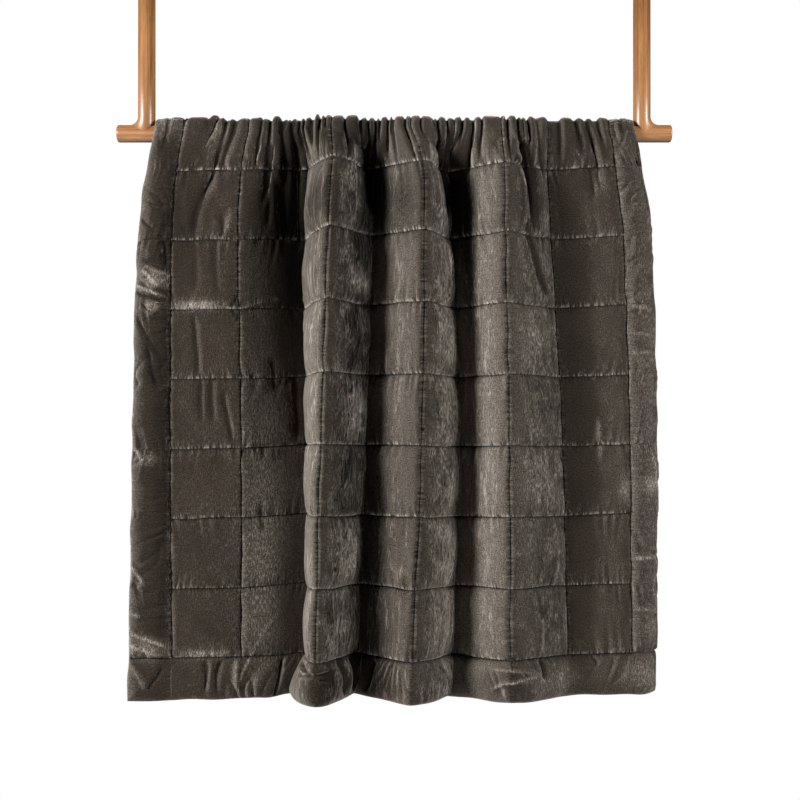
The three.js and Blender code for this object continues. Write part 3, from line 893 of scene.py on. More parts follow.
class Graph:
    """A node tree under construction."""

    def __init__(self, tree: bpy.types.NodeTree) -> None:
        """Keeps the tree."""
        self.tree = tree

    def add(self, kind: str, settings: dict | None = None, links: dict | None = None) -> bpy.types.Node:
        """Adds a node.

        Args:
            kind: The node's type.
            settings: Properties of the node, or inputs by name or number, and their values.
            links: Inputs by name or number, and the output socket that feeds each.

        Returns:
            The node.
        """
        node = self.tree.nodes.new(kind)
        for name, value in (settings or {}).items():
            if isinstance(name, int) or name in node.inputs:
                node.inputs[name].default_value = value
            else:
                setattr(node, name, value)
        for name, source in (links or {}).items():
            self.tree.links.new(source, node.inputs[name])
        return node

    def maths(self, operation: str, a: Value, b: Value = 0.0) -> Socket:
        """Adds a sum of two values and returns its output."""
        values = {i: x for i, x in enumerate((a, b)) if not isinstance(x, Socket)}
        sockets = {i: x for i, x in enumerate((a, b)) if isinstance(x, Socket)}
        return self.add("ShaderNodeMath", {"operation": operation, **values}, sockets).outputs[0]

    def times(self, *parts: Value) -> Socket:
        """Multiplies values together."""
        total = parts[0]
        for part in parts[1:]:
            total = self.maths("MULTIPLY", total, part)
        return total

    def plus(self, *parts: Value | tuple[Value, ...]) -> Socket:
        """Adds values together. A tuple stands for the product of what it holds."""
        total, *rest = [self.times(*part) if isinstance(part, tuple) else part for part in parts]
        for part in rest:
            total = self.maths("ADD", total, part)
        return total

    def clamped(self, value: Socket) -> Socket:
        """Limits a value to between 0 and 1."""
        return self.add("ShaderNodeClamp", links={0: value}).outputs[0]

    def ramp(self, value: Socket, low: float, high: float, start: float = 0, end: float = 1) -> Socket:
        """Stretches a range to another, and holds it there."""
        settings = {"From Min": low, "From Max": high, "To Min": start, "To Max": end}
        return self.add("ShaderNodeMapRange", settings, {0: value}).outputs[0]

    def noise(self, place: Socket, sizes: tuple[float, float, float], detail: float, twist: float,
              roughness: float) -> Socket:
        """Adds a noise.

        Args:
            place: Where each point is, in metres.
            sizes: How large its features are along each axis, in metres.
            detail: How many finer layers it has.
            twist: How much they are bent.
            roughness: How strong the finer layers are.

        Returns:
            The socket with the noise, from 0 to 1 with its middle at 0.5.
        """
        scale = tuple(1 / size for size in sizes)
        scaled = self.add("ShaderNodeMapping", {"Scale": scale}, {0: place}).outputs[0]
        settings = {"Scale": 1.0, "Detail": detail, "Roughness": roughness, "Distortion": twist}
        return self.add("ShaderNodeTexNoise", settings, {"Vector": scaled}).outputs[0]

    def blend(self, share: Socket, a: Socket | tuple, b: Socket | tuple) -> Socket:
        """Adds a mix of two colours, each a tuple or a socket, and returns its output."""
        node = self.add("ShaderNodeMix", {"data_type": "RGBA"}, {0: share})
        for slot, colour in ((6, a), (7, b)):
            if isinstance(colour, Socket):
                self.tree.links.new(colour, node.inputs[slot])
            else:
                node.inputs[slot].default_value = colour
        return node.outputs[2]


def new_material(name: str) -> tuple[bpy.types.Material, Graph, bpy.types.Node]:
    """Makes a material with one Principled shader.

    Args:
        name: The material's name.

    Returns:
        The material, its graph, and the shader.
    """
    material = bpy.data.materials.new(name)
    material.use_nodes = True
    shader = material.node_tree.nodes["Principled BSDF"]
    return material, Graph(material.node_tree), shader


class ClothGraph(Graph):
    """A shader graph whose patterns are placed by the flat cloth's own metres."""

    ROUGHNESS = 0.6

    def __init__(self, tree: bpy.types.NodeTree) -> None:
        """Adds the node that gives the places, from the UV map "cloth"."""
        super().__init__(tree)
        self.cloth = self.add("ShaderNodeUVMap", {"uv_map": "cloth"}).outputs[0]

    def spread(self, across: float, along: float, detail: float = 2, twist: float = 0) -> Socket:
        """Noise with features of a size across and along the cloth, in metres."""
        return self.noise(self.cloth, (across, along, 1.0), detail, twist, self.ROUGHNESS)

    def fade(self, distance: Socket, reach: float) -> Socket:
        """1 at no distance, falling off over a reach in metres."""
        return self.maths("EXPONENT", self.times(distance, -1 / reach))

    def rim(self, distance: Socket, outer: float, inner: float) -> Socket:
        """0 at no distance, rising over an inner reach and falling off over an outer one."""
        return self.maths("SUBTRACT", self.fade(distance, outer), self.fade(distance, inner))

    def contour(self, noise: Socket, level: float, width: float) -> Socket:
        """A thin curved line where a noise crosses a level: 1 on it, 0 beside it."""
        away = self.maths("ABSOLUTE", self.maths("SUBTRACT", noise, level))
        return self.ramp(away, 0, width, 1, 0)


@dataclass(frozen=True)
class SeamDistances:
    """Distances in metres from a place to the seams round it, which are far off the panel."""

    SEAM_SHARE = 0.005  # the panel's outermost seams count as part of it, this share of a square wide

    above: Socket
    under: Socket
    beside: Socket
    border: Socket
    side: Socket
    edge: Socket

    @classmethod
    def measure(cls, g: ClothGraph, p: Pattern) -> "SeamDistances":
        """Works them out.

        Args:
            g: The graph to add the nodes to.
            p: The throw laid flat.

        Returns:
            The distance above the seam below, under the seam above, and beside the nearest one,
            1 on the borders, 1 on the side borders, and the distance from the throw's outer edge.
        """
        shift = (-p.border / p.square, -p.border / p.square, 0)
        settings = {"Scale": (1 / p.square, 1 / p.square, 1), "Location": shift}
        squares = g.add("ShaderNodeMapping", settings, {0: g.cloth}).outputs[0]
        column, row = g.add("ShaderNodeSeparateXYZ", links={0: squares}).outputs[:2]

        def off(place: Socket, count: int) -> Socket:
            """1 beyond the panel and 0 on it."""
            from_middle = g.maths("ABSOLUTE", g.maths("SUBTRACT", place, count / 2))
            return g.maths("GREATER_THAN", from_middle, count / 2 + cls.SEAM_SHARE)

        flat = g.add("ShaderNodeSeparateXYZ", links={0: g.cloth}).outputs

        def inside(axis: int, size: float) -> Socket:
            """Distance from the nearer of two opposite edges of the throw."""
            return g.maths("MINIMUM", flat[axis], g.maths("SUBTRACT", size, flat[axis]))

        up = g.maths("FRACT", row)
        middle = g.maths("ABSOLUTE", g.maths("SUBTRACT", g.maths("FRACT", column), 0.5))
        beside = g.times(g.maths("SUBTRACT", 0.5, middle), p.square)
        sides, ends = off(column, p.columns), off(row, p.rows)
        down = g.maths("SUBTRACT", 1.0, up)
        return cls(
            above=g.plus((up, p.square), sides, ends),
            under=g.plus((down, p.square), sides),
            beside=g.plus(beside, ends),
            border=g.maths("MAXIMUM", sides, ends),
            side=sides,
            edge=g.maths("MINIMUM", inside(0, p.width), inside(1, p.length)),
        )


class Pile(ClothGraph):
    """The patterns of crushed velvet's pile and of its small folds, and the painted light and shade
    laid over them, as sockets from 0 to about 1.

    Sizes are in metres: across the cloth, then along it. The levels of each ramp cut off the part
    of a noise that shows.
    """

    def __init__(self, tree: bpy.types.NodeTree, pattern: Pattern, size: float) -> None:
        """Adds the patterns that the finish and its painted light and shade are mixed from.

        Args:
            tree: The material's nodes.
            pattern: The throw laid flat.
            size: How large the pile's grain is drawn, in metres.
        """
        super().__init__(tree)
        self.seams = SeamDistances.measure(self, pattern)
        # crushed: crushed pile and painted light, and painted shade where it is negative
        self.crushed = self.add("ShaderNodeAttribute", {"attribute_name": "crushed"}).outputs["Fac"]
        normal = self.add("ShaderNodeNewGeometry").outputs["Normal"]
        to_right = self.add("ShaderNodeSeparateXYZ", links={0: normal}).outputs[0]
        # The pile's grain, the streaks it lies in, and the larger patches where it lies flat
        self.grain = self.ramp(self.spread(size, size * 1.3, 2), 0.37, 0.63)
        self.streaks = self.ramp(self.spread(0.0017, 0.0080, 4, 0.15), 0.49, 0.63)
        self.lines = self.ramp(self.spread(0.012, 0.0018, 3, 0.5), 0.40, 0.70)
        self.patches = self.ramp(self.spread(0.022, 0.036, 6, 0.6), 0.38, 0.66)
        # Hairline creases that start and stop: a trough in the bump, with painted shade in it and a painted
        # highlight on one lip
        bends = self.spread(0.10, 0.16, 2, 0.5)
        self.breaks = self.ramp(self.spread(0.012, 0.012, 2), 0.40, 0.62)
        self.crease = self.times(self.contour(bends, 0.5, 0.004), self.patches, self.breaks)
        self.lip = self.times(self.contour(bends, 0.507, 0.005), self.patches, self.breaks)
        # How far the cloth turns from the front, to the left and to the right, which also sets where light
        # and shade are painted
        self.left = self.ramp(to_right, -0.08, -0.62)
        self.far_left = self.ramp(to_right, -0.62, -0.92)
        self.half_right = self.ramp(to_right, 0.12, 0.60)
        self.right = self.ramp(to_right, 0.44, 0.84)
        self.far_right = self.ramp(to_right, 0.74, 0.96)
        either = self.ramp(to_right, 0.35, 0.8), self.ramp(to_right, -0.45, -0.9)
        self.flanks = self.maths("MAXIMUM", *either)
        # Small folds: these noises cross their middle level at each crest
        self.across_seam = self.spread(0.0085, 0.045, 2, 0.5)
        self.upright = self.spread(0.016, 0.13, 3, 0.6)
        self.level = self.spread(0.050, 0.0095, 3, 0.7)
        self.kinks = self.spread(0.2, 0.006, 2)

    def painted_turned_light(self) -> Socket:
        """Painted light: how silver the pile is painted where the cloth turns to a side, toward the lamps."""
        ridges = self.contour(self.upright, 0.5, 0.035)
        left = self.plus((self.grain, 0.27), (self.lines, 0.08), (self.patches, self.streaks, 0.12), 0.04)
        half_right = self.plus((self.grain, 0.13), (self.lines, 0.06))
        far_left = self.plus((self.streaks, 0.22), (ridges, 0.45), 0.10)
        far_right = self.plus((self.streaks, 0.3), (ridges, 0.9))
        flat_pile = self.plus(self.streaks, (self.lines, 0.10), 0.02)
        right = self.plus((self.patches, flat_pile), (self.streaks, 0.14), (self.lip, 0.4))
        return self.plus((self.left, left), (self.half_right, half_right), (self.far_left, far_left),
                         (self.far_right, far_right), (self.right, right))

    def crushed_and_painted_light(self) -> Socket:
        """How silver the pile is where it is crushed or a little worn, with the painted highlights on the
        creases' lips and the painted light that the crushed attribute holds.
        """
        bent = self.plus((self.grain, 0.45), (self.streaks, 0.85), 0.05)
        return self.plus((self.patches, self.streaks, 0.12), (self.lip, 0.10), (self.crushed, bent))

    def dashes(self) -> Socket:
        """Painted highlights: the short bright dashes of the folds that each level seam gathers, just above
        it.
        """
        broken = self.ramp(self.spread(0.0050, 0.2, 3), 0.46, 0.60)
        return self.times(self.rim(self.seams.above, 1.6 * MM, 0.6 * MM), broken, 2.9)

    def crests(self) -> tuple[Socket, Socket]:
        """Painted light and shade on the small folds of the bump: a highlight along each crest.

        Returns:
            A painted highlight on each crest, and the painted shade beside it.
        """
        seams = self.seams
        near_level = self.plus(self.fade(seams.above, 13 * MM), (self.fade(seams.under, 7 * MM), 0.6))
        near_upright = self.times(self.fade(seams.beside, 4.5 * MM), self.ramp(seams.border, 1, 0, 0, 0.6))
        on_right = self.plus(0.40, (self.right, 1.1))
        bright = self.plus(
            (self.contour(self.across_seam, 0.5, 0.045), near_level, on_right),
            (self.contour(self.upright, 0.5, 0.022), self.flanks, 0.6),
            (self.contour(self.level, 0.5, 0.030), self.plus(near_upright, (seams.side, 0.15)), 0.5))
        dark = self.plus(
            (self.contour(self.across_seam, 0.555, 0.045), near_level, 0.7),
            (self.contour(self.upright, 0.535, 0.030), self.flanks, 0.6),
            (self.contour(self.level, 0.545, 0.040), self.plus(near_upright, (seams.side, 0.25)), 0.9))
        return self.times(bright, self.breaks), self.times(dark, self.breaks)

    def painted_seam_light(self, dashes: Socket) -> Socket:
        """Painted highlights: how silver the pile is painted in the dashes and on the folds above the level
        seams, beside the upright seams, and along the throw's edge.
        """
        seams = self.seams
        rims = self.times(self.rim(seams.beside, 2.2 * MM, 0.8 * MM), self.ramp(self.kinks, 0.46, 0.68), 0.55)
        uneven = self.ramp(self.spread(0.0040, 0.05, 2, 0.3), 0.52, 0.68)
        folds = self.times(uneven, self.fade(seams.above, 9 * MM), self.plus(0.10, (self.right, 0.3)))
        edge_sheen_breaks = self.ramp(self.spread(0.004, 0.004, 2), 0.35, 0.6)
        return self.plus((dashes, 0.6), rims, folds, (self.fade(seams.edge, 2.5 * MM), edge_sheen_breaks, 0.6))

    def shadow(self, dark: Socket) -> Socket:
        """Painted shade: how black the pile is painted in the seams, beside creases and small folds, on
        flanks turned from the key lamp, and in shaded patches.
        """
        seams = self.seams
        nearest = self.maths("MINIMUM", seams.above, self.maths("MINIMUM", seams.under, seams.beside))
        ditch = self.times(self.fade(seams.beside, 1.3 * MM), self.ramp(self.kinks, 0.36, 0.58, 0.75, 0.30))
        # Painted shade where the crushed attribute is negative
        painted_shade = self.ramp(self.crushed, 0, -1)
        return self.plus((self.fade(nearest, 0.8 * MM), 0.5), ditch, (self.fade(seams.under, 2.2 * MM), 0.60),
                         (self.fade(nearest, 9 * MM), 0.10), (self.crease, 0.6), dark,
                         (self.half_right, 0.20), (self.right, self.plus(0.38, (self.patches, -0.34))),
                         (painted_shade, 0.9))

    def heights(self) -> Socket:
        """The relief that is too fine for the mesh, in millimetres."""
        seams = self.seams
        near_level = self.plus(self.fade(seams.above, 16 * MM), self.fade(seams.under, 10 * MM))
        beside = self.contour(self.spread(0.045, 0.0085, 2, 0.5), 0.5, 0.14)
        crumples = self.contour(self.spread(0.026, 0.040, 2, 0.4), 0.5, 0.08)
        return self.plus(
            (self.contour(self.across_seam, 0.5, 0.14), near_level, 2.0),
            (beside, self.fade(seams.beside, 9 * MM), 1.7),
            (crumples, self.right, 1.2),
            (self.contour(self.level, 0.5, 0.12), seams.side, 1.0),
            (self.contour(self.upright, 0.5, 0.09), self.flanks, 1.3),
            (self.spread(0.014, 0.020, 3, 0.8), 2.2),
            (self.grain, 0.30),
            (self.crease, -1.0))


@dataclass(frozen=True)
class Velvet:
    """Crushed cut-pile velvet, whose pile stands, leans or lies flat from place to place.

    Face on it is dark and grainy. Its colour also carries painted light: where the cloth turns to a
    lamp the pile is painted silver, in patches drawn out down the cloth, and the folds that a seam
    gathers get a painted highlight above it. shadow is the colour of the painted shade in the seams,
    creases and shaded patches, dark and ground those of the standing pile, silver that of crushed
    pile and of painted light, and glint that of the painted highlights on the brightest edges. relief
    is the strength of the fine bends.
    """

    pattern: Pattern
    name: str = "crushed velvet"
    shadow: str = "0a0806"
    dark: str = "1f1b17"
    ground: str = "483f36"
    silver: str = "b8aea2"
    glint: str = "e2d8cc"
    pile: float = 1.7 * MM  # the real pile is finer than a pixel, so it is drawn this coarse
    roughness: float = 0.95
    specular: float = 0.1
    sheen_weight: float = 0.80
    sheen_roughness: float = 0.32
    sheen_tint: str = "d8cdc0"
    relief: float = 0.8

    def build(self) -> bpy.types.Material:
        """Makes the material."""
        material, plain, shader = new_material(self.name)
        g = Pile(plain.tree, self.pattern, self.pile)
        dashes = g.dashes()
        bright, dark = g.crests()
        # The silver share: painted light from the lamps, seams and crests, with the crushed pile
        silver = g.clamped(g.plus(g.painted_turned_light(), g.crushed_and_painted_light(), g.painted_seam_light(dashes), bright))
        cloudy = g.ramp(g.spread(0.05, 0.08, 4, 0.3), 0.3, 0.7, 0.72, 1.15)
        colour = g.blend(g.times(g.grain, cloudy), linear(self.dark), linear(self.ground))
        colour = g.blend(silver, colour, linear(self.silver))
        # Painted shade in the seams and creases, on flanks turned from the key lamp and in shaded patches
        colour = g.blend(g.clamped(g.shadow(dark)), colour, linear(self.shadow))
        # Painted highlight: the crests of the folds that a seam gathers are painted in the glint colour, most
        # on the turned flanks
        on_flanks = g.plus(0.16, (g.left, 0.75), (g.right, 0.75))
        colour = g.blend(g.clamped(g.times(dashes, on_flanks)), colour, linear(self.glint))
        g.tree.links.new(colour, shader.inputs["Base Color"])
        bump = g.add("ShaderNodeBump", {"Strength": self.relief, "Distance": MM}, {"Height": g.heights()})
        g.tree.links.new(bump.outputs[0], shader.inputs["Normal"])
        shader.inputs["Roughness"].default_value = self.roughness
        shader.inputs["Specular IOR Level"].default_value = self.specular
        shader.inputs["Sheen Weight"].default_value = self.sheen_weight
        shader.inputs["Sheen Roughness"].default_value = self.sheen_roughness
        shader.inputs["Sheen Tint"].default_value = linear(self.sheen_tint)
        return material


@dataclass(frozen=True)
class Thread:
    """Spun polyester sewing thread in the velvet's colour, with a slight gloss.

    Against the velvet it is a row of short smooth beads, a little lighter and darker by turns.
    """

    name: str = "sewing thread"
    colour: str = "4e4842"
    dark: str = "26221f"
    roughness: float = 0.6
    patches: float = 160.0  # of light and dark thread in a metre

    def build(self) -> bpy.types.Material:
        """Makes the material, with a little unevenness from stitch to stitch."""
        material, g, shader = new_material(self.name)
        place = g.add("ShaderNodeTexCoord").outputs["Object"]
        settings = {"Scale": self.patches, "Detail": 1.0}
        uneven = g.add("ShaderNodeTexNoise", settings, {"Vector": place}).outputs[0]
        colour = g.blend(uneven, linear(self.dark), linear(self.colour))
        g.tree.links.new(colour, shader.inputs["Base Color"])
        shader.inputs["Roughness"].default_value = self.roughness
        return material


@dataclass(frozen=True)
class OiledOak:
    """Oak dowel, sanded and oiled: warm, with fine long grain and open pores.

    The coat is the film of oil, which draws a soft lit edge down each post. ring and pore are
    sizes across the grain, in metres.
    """

    name: str = "oiled oak"
    pale: str = "c58e5c"
    ground: str = "9a6235"
    dark: str = "663a1b"
    coat_weight: float = 0.9
    coat_roughness: float = 0.28
    ring: float = 5.5 * MM
    ring_length: float = 160 * MM
    pore: float = 0.9 * MM
    pore_length: float = 20 * MM
    pore_depth: float = 0.3 * MM
    unevenness: float = 0.55
    roughness: tuple[float, float] = (0.42, 0.6)  # between the pores, and in them

    def build(self) -> bpy.types.Material:
        """Makes the material. The attribute "grain" has its first axis along the grain."""
        material, g, shader = new_material(self.name)
        grain = g.add("ShaderNodeAttribute", {"attribute_name": "grain"}).outputs["Vector"]
        rings = g.noise(grain, (self.ring_length, self.ring, self.ring), 3, 0.5, self.unevenness)
        pores = g.noise(grain, (self.pore_length, self.pore, self.pore), 2, 0, self.unevenness)
        pored = g.ramp(pores, 0.54, 0.72)
        wood = g.blend(g.ramp(rings, 0.35, 0.68), linear(self.pale), linear(self.ground))
        wood = g.blend(g.times(pored, 0.6), wood, linear(self.dark))
        g.tree.links.new(wood, shader.inputs["Base Color"])
        settings = {"Strength": 0.25, "Distance": self.pore_depth}
        bump = g.add("ShaderNodeBump", settings, {"Height": g.times(pored, -1.0)})
        g.tree.links.new(bump.outputs[0], shader.inputs["Normal"])
        g.tree.links.new(g.ramp(pored, 0, 1, *self.roughness), shader.inputs["Roughness"])
        shader.inputs["Coat Weight"].default_value = self.coat_weight
        shader.inputs["Coat Roughness"].default_value = self.coat_roughness
        return material


def new_object(name: str, data: bpy.types.ID) -> bpy.types.Object:
    """Makes an object at the origin and links it to the scene."""
    made = bpy.data.objects.new(name, data)
    bpy.context.scene.collection.objects.link(made)
    return made


def shade_smooth(mesh: bpy.types.Mesh) -> None:
    """Has all faces shaded as one curved surface."""
    mesh.polygons.foreach_set("use_smooth", np.ones(len(mesh.polygons), bool))


def finish_mesh(name: str, points: Array, faces: Faces, material: bpy.types.Material) -> bpy.types.Object:
    """Makes a smooth-shaded object at the origin from points and faces.

    Args:
        name: The piece's name.
        points: One row for each point, in the row frame.
        faces: Lists of point numbers.
        material: What it is made of.

    Returns:
        The object, linked to the scene.
    """
    mesh = bpy.data.meshes.new(name)
    mesh.from_pydata(points.tolist(), [], faces)
    mesh.validate()
    shade_smooth(mesh)
    mesh.materials.append(material)
    mesh.update()
    return new_object(name, mesh)


NEAR_SEAM = (0.8, 1.8, 3.2, 5.2, 8)  # millimetres off a seam where the velvet is divided
NEAR_BACK_SEAM = (3, 8)


class Fineness(Enum):
    """Where the velvet is divided: steps off a seam in millimetres, then cells in the middle."""

    ACROSS_SQUARE = (NEAR_SEAM, 34)
    ALONG_SQUARE = (NEAR_SEAM, 14)
    ALONG_BAR_SQUARE = (NEAR_SEAM, 26)
    ALONG_BACK_SQUARE = (NEAR_BACK_SEAM, 4)
    ACROSS_BORDER = (NEAR_SEAM, 28)
    BESIDE_BORDER = (NEAR_SEAM, 48)

    def divide(self, start: float, size: float) -> Array:
        """Places of the cells' starts along one square or border."""
        steps, cells = self.value
        near = np.array(steps, float) * MM
        middle = np.linspace(near[-1], size - near[-1], cells + 1)
        return start + np.concatenate([[0], near[:-1], middle, size - near[-2::-1]])


@dataclass(frozen=True)
class ClothPiece:
    """One cut piece of the throw: its node, and its low and high corner on the flat throw."""

    node: str
    low: Place
    high: Place
    hangs_on: str

    @property
    def cut(self) -> Place:
        """Its flat width and length."""
        return (self.high[0] - self.low[0], self.high[1] - self.low[1])

    def divisions(self, places: Array, axis: int) -> Array:
        """Those of the places across or along the throw that lie on this piece."""
        tiny = 1e-9
        return places[(places > self.low[axis] - tiny) & (places < self.high[axis] + tiny)]


@dataclass
class Throw:
    """The quilted throw: a panel in squares and four plain borders.

    back_loft is in metres. The inner face, which hardly shows, has one division for inner_stride of
    the outer one. bar_row is the row of squares that lies over the bar.
    """

    pattern: Pattern
    drape: Drape
    relief: Relief
    back_loft: float = 2.4 * MM
    inner_stride: int = 6
    bar_row: int = 7

    def __post_init__(self) -> None:
        """Lists the cut pieces and the places where the velvet is divided."""
        p = self.pattern
        right, back = p.width - p.border, p.length - p.border
        self.pieces = (
            ClothPiece("quilted_panel", (p.border, p.border), (right, back), "rail_bar"),
            ClothPiece("border_left", (0, p.border), (p.border, back), "rail_bar"),
            ClothPiece("border_right", (right, p.border), (p.width, back), "rail_bar"),
            ClothPiece("border_front", (0, 0), (p.width, p.border), "velvet_quilted_panel"),
            ClothPiece("border_back", (0, back), (p.width, p.length), "velvet_quilted_panel"),
        )
        across = [Fineness.ACROSS_BORDER.divide(0, p.border)]
        across += [Fineness.ACROSS_SQUARE.divide(p.place(k), p.square) for k in range(p.columns)]
        across += [Fineness.ACROSS_BORDER.divide(right, p.border), [p.width]]
        along = [Fineness.ACROSS_BORDER.divide(0, p.border)]
        along += [self.row_fineness(k).divide(p.place(k), p.square) for k in range(p.rows)]
        along += [Fineness.ACROSS_BORDER.divide(back, p.border), [p.length]]
        self.across = np.concatenate(across)
        self.along = np.concatenate(along)
        beside = Fineness.BESIDE_BORDER
        front_rows = self.bar_row + 1
        across[1:-2] = [beside.divide(p.place(k), p.square) for k in range(p.columns)]
        along[1:front_rows + 1] = [beside.divide(p.place(k), p.square) for k in range(front_rows)]
        self.fine_across = np.concatenate(across)
        self.fine_along = np.concatenate(along)

    def row_fineness(self, row: int) -> Fineness:
        """How finely a row of squares is divided."""
        if row == self.bar_row:
            return Fineness.ALONG_BAR_SQUARE
        return Fineness.ALONG_SQUARE if row < self.bar_row else Fineness.ALONG_BACK_SQUARE

    def closed_sheet(self, us: Array, vs: Array) -> tuple[Array, Faces, Array]:
        """The outer and inner face of a piece and the rim between them.

        Args:
            us: Places where it is divided across.
            vs: Places where it is divided along.

        Returns:
            Its points, its faces, and each point's place on the flat throw.
        """
        thin_u = us[self.kept(len(us))]
        thin_v = vs[self.kept(len(vs))]
        u, v = np.meshgrid(us, vs)
        outer = self.drape.place(u, v) + self.drape.facing(u, v) * self.relief.height(u, v)[..., None]
        iu, iv = np.meshgrid(thin_u, thin_v)
        loft = self.relief.seam_half + self.back_loft * self.relief.filling(iu, iv) / self.relief.face_loft
        inner = self.drape.place(iu, iv) - self.drape.facing(iu, iv) * loft[..., None]
        m, n, count = len(us), len(vs), len(us) * len(vs)
        wide = len(thin_u)
        faces = [
            (k * m + i, k * m + i + 1, (k + 1) * m + i + 1, (k + 1) * m + i)
            for k in range(n - 1) for i in range(m - 1)
        ]

        def at(i: int, k: int) -> int:
            """Number of a point of the inner face."""
            return count + k * wide + i

        faces += [
            (at(i, k), at(i, k + 1), at(i + 1, k + 1), at(i + 1, k))
            for k in range(len(thin_v) - 1) for i in range(wide - 1)
        ]
        faces += self.rim(m, n, at)
        points = np.concatenate([outer.reshape(-1, 3), inner.reshape(-1, 3)])
        flat = np.concatenate([np.stack([u, v], -1).reshape(-1, 2), np.stack([iu, iv], -1).reshape(-1, 2)])
        return points, faces, flat

    def kept(self, count: int) -> list[int]:
        """Which of the outer face's divisions the coarser inner face keeps."""
        return sorted({*range(0, count - 1, self.inner_stride), count - 1})

    def rim(self, m: int, n: int, inner: Callable[[int, int], int]) -> Faces:
        """Faces that join the fine outer edge to the coarse inner one, on all four sides."""
        across, along = self.kept(m), self.kept(n)
        faces = []
        for i, (a, b) in enumerate(zip(across, across[1:])):
            low = list(range(a, b + 1))
            high = [(n - 1) * m + x for x in low]
            faces.append((*reversed(low), inner(i, 0), inner(i + 1, 0)))
            faces.append((*high, inner(i + 1, len(along) - 1), inner(i, len(along) - 1)))
        for k, (a, b) in enumerate(zip(along, along[1:])):
            left = [x * m for x in range(a, b + 1)]
            right = [x * m + m - 1 for x in range(a, b + 1)]
            faces.append((*left, inner(0, k + 1), inner(0, k)))
            faces.append((*reversed(right), inner(len(across) - 1, k), inner(len(across) - 1, k + 1)))
        return faces

    def sew(self, piece: ClothPiece, velvet: bpy.types.Material) -> bpy.types.Object:
        """Makes one cut piece as it hangs.

        Args:
            piece: Which one.
            velvet: What it is made of.

        Returns:
            The finished object.
        """
        across = self.fine_across if piece.node == "border_front" else self.across
        along = self.fine_along if piece.node in ("border_left", "border_right") else self.along
        points, faces, flat = self.closed_sheet(piece.divisions(across, 0), piece.divisions(along, 1))
        made = finish_mesh("velvet_" + piece.node, points, faces, velvet)
        corners = np.zeros(len(made.data.loops), int)
        made.data.loops.foreach_get("vertex_index", corners)
        cloth = made.data.uv_layers.new(name="cloth")
        cloth.data.foreach_set("uv", flat[corners].astype(np.float32).ravel())
        # crushed holds crushed pile, painted light and painted shade, for the velvet's colour
        crushed = made.data.attributes.new("crushed", "FLOAT", "POINT")
        crushed.data.foreach_set("value", self.relief.shine(flat[:, 0], flat[:, 1]).astype(np.float32))
        return made

    def build(self, velvet: bpy.types.Material) -> list[bpy.types.Object]:
        """Makes, declares and places all five pieces."""
        made = []
        for piece in self.pieces:
            cloth = self.sew(piece, velvet)
            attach(cloth, "root")
            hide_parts(piece.node)
            LOG.info("%s: %d faces", cloth.name, len(cloth.data.polygons))
            made.append(cloth)
        return made


